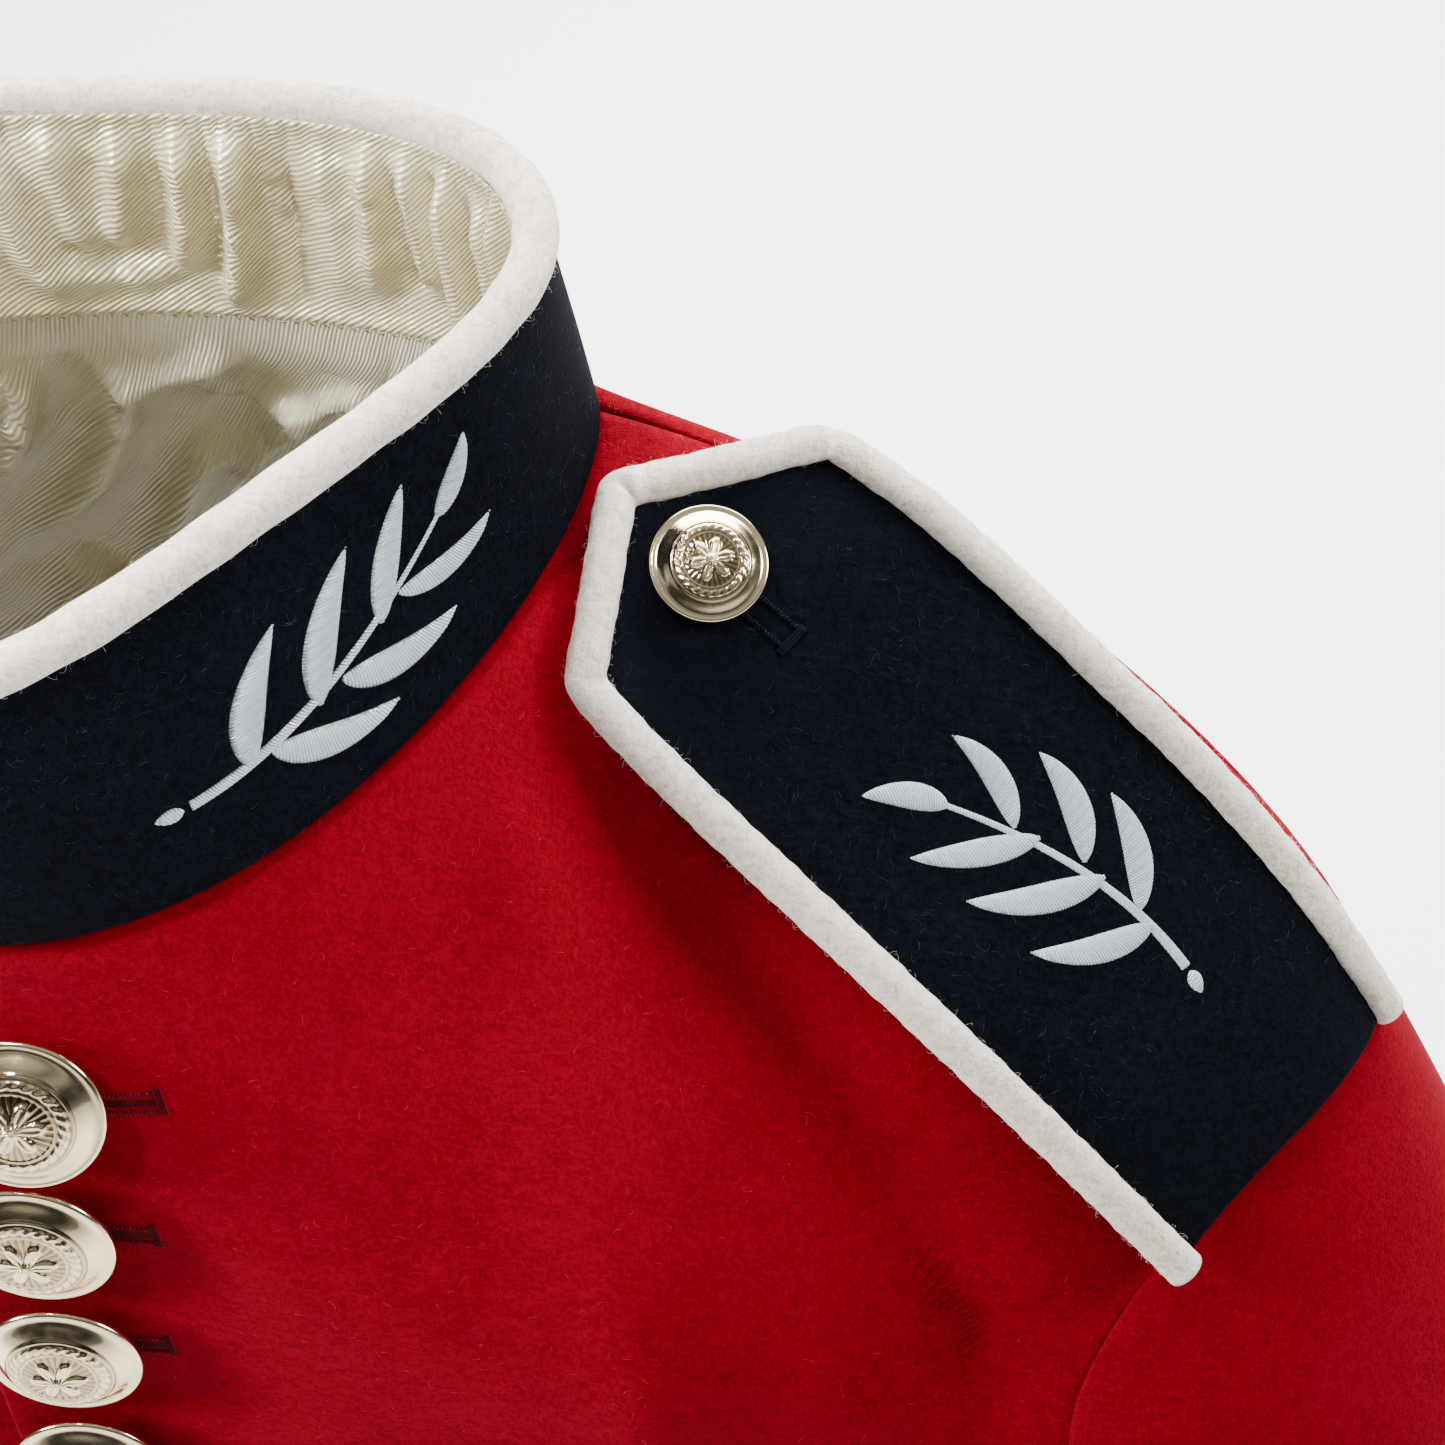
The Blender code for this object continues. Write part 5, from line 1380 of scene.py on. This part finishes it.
count = 2900
a = dice.uniform(2, 178, count)
r = dice.uniform(4, 480, count) ** 0.92
clear = (r < np.interp(a, (0, 52, 60, 97, 130, 180), (690, 690, 122, 138, 140, 690)))
a, r = a[clear], r[clear]
for side, other in (("left", False), ("right", True)):
    p, n = body(a, r, other), form_out(a, r)
    if other:
        p, n = mirror(p), mirror(n)
    hairs(side + "_body_fibres", p, n, 46, 1.3, 0.015, red_hair, 0.3)


# Stand and light: a plain pale floor under the hem, a soft room, four square lamps round the
# tunic and one over the floor, and the camera close by the wearer's left shoulder.
FLOOR_HALF = 6.0
FLOOR_LEVEL = -0.72
floor_mesh = bpy.data.meshes.new("floor")
floor_corners = [(x * FLOOR_HALF, y * FLOOR_HALF, FLOOR_LEVEL)
                 for x, y in ((-1, -1), (1, -1), (1, 1), (-1, 1))]
floor_mesh.from_pydata(floor_corners, [], [(0, 1, 2, 3)])
floor = bpy.data.objects.new("floor", floor_mesh)
bpy.context.scene.collection.objects.link(floor)
pale = finish("pale_floor", {"Base Color": (0.9, 0.9, 0.9, 1.0), "Roughness": 0.9,
                             "Emission Color": (1.0, 1.0, 1.0, 1.0), "Emission Strength": 0.6})
floor_mesh.materials.append(pale[0])

world = bpy.data.worlds.new("soft_room")
bpy.context.scene.world = world
world.use_nodes = True
w = Wire(world.node_tree)
sky = w.node("ShaderNodeTexCoord", {}, {}, out=0)
high = Wire(w.tree, w.node("ShaderNodeSeparateXYZ", {}, {0: sky}).socket.node.outputs[2])
glow = high.ramp((0.0, (0.35, 0.34, 0.33)), (0.12, (0.07, 0.07, 0.07)),
                 (0.34, (0.12, 0.12, 0.12)), (0.46, (1.0, 1.0, 1.0)),
                 (0.64, (0.30, 0.30, 0.31)), (0.82, (1.1, 1.1, 1.1)))
w.tree.links.new(glow.socket, world.node_tree.nodes["Background"].inputs["Color"])
world.node_tree.nodes["Background"].inputs["Strength"].default_value = 0.42


def softbox(name, place, aim, size, power, spread):
    """A square lamp at a place, turned to face its aim, its beam spread degrees wide."""
    lamp = bpy.data.lights.new(name, "AREA")
    lamp.shape = "SQUARE"
    lamp.size = size
    lamp.energy = power
    lamp.spread = math.radians(spread)
    stand = bpy.data.objects.new(name, lamp)
    bpy.context.scene.collection.objects.link(stand)
    z = unit(np.array(place, float) - np.array(aim, float))
    x = unit(np.cross((0.0, 0.0, 1.0), z))
    y = np.cross(z, x)
    stand.matrix_world = Matrix([[x[i], y[i], z[i], place[i]] for i in range(3)] + [[0, 0, 0, 1]])


LIGHT_COLUMNS = ("name", "place", "aim", "size", "power", "spread")
for row in (
        ("key_light", (-1.6, -0.62, 0.9), (0.05, 0.0, -0.05), 0.45, 70, 180),
        ("side_light", (1.55, -0.05, 0.7), (0.15, 0.0, -0.1), 0.5, 29, 180),
        ("top_light", (-0.45, 0.0, 1.3), (0.0, 0.03, 0.0), 0.3, 10, 180),
        ("neck_light", (-0.25, -0.42, 1.2), (-0.005, 0.04, 0.0), 0.2, 0.22, 7),
        ("floor_light", (0.3, 1.3, 0.9), (0.3, 1.2, FLOOR_LEVEL), 1.6, 150, 180)):
    softbox(*row)

CAMERA_TURN, CAMERA_TILT, CAMERA_ROLL = np.radians((6.6154, 44.6214, 4.898))
EYE = np.array((132.947, -286.167, 262.109)) * MM
FOCAL = 2600 / 1445
right = np.array((np.cos(CAMERA_TURN), np.sin(CAMERA_TURN), 0.0))
over = np.array((-np.sin(CAMERA_TURN) * np.sin(CAMERA_TILT),
                 np.cos(CAMERA_TURN) * np.sin(CAMERA_TILT), np.cos(CAMERA_TILT)))
back = np.array((np.sin(CAMERA_TURN) * np.cos(CAMERA_TILT),
                 -np.cos(CAMERA_TURN) * np.cos(CAMERA_TILT), np.sin(CAMERA_TILT)))
across = np.cos(CAMERA_ROLL) * right - np.sin(CAMERA_ROLL) * over
upward = np.sin(CAMERA_ROLL) * right + np.cos(CAMERA_ROLL) * over
lens = bpy.data.cameras.new("camera")
lens.sensor_width = 36.0
lens.lens = 36.0 * FOCAL
lens.clip_start = 0.01
camera = bpy.data.objects.new("camera", lens)
bpy.context.scene.collection.objects.link(camera)
camera.matrix_world = Matrix([[across[i], upward[i], back[i], EYE[i]] for i in range(3)]
                             + [[0, 0, 0, 1]])
bpy.context.scene.camera = camera
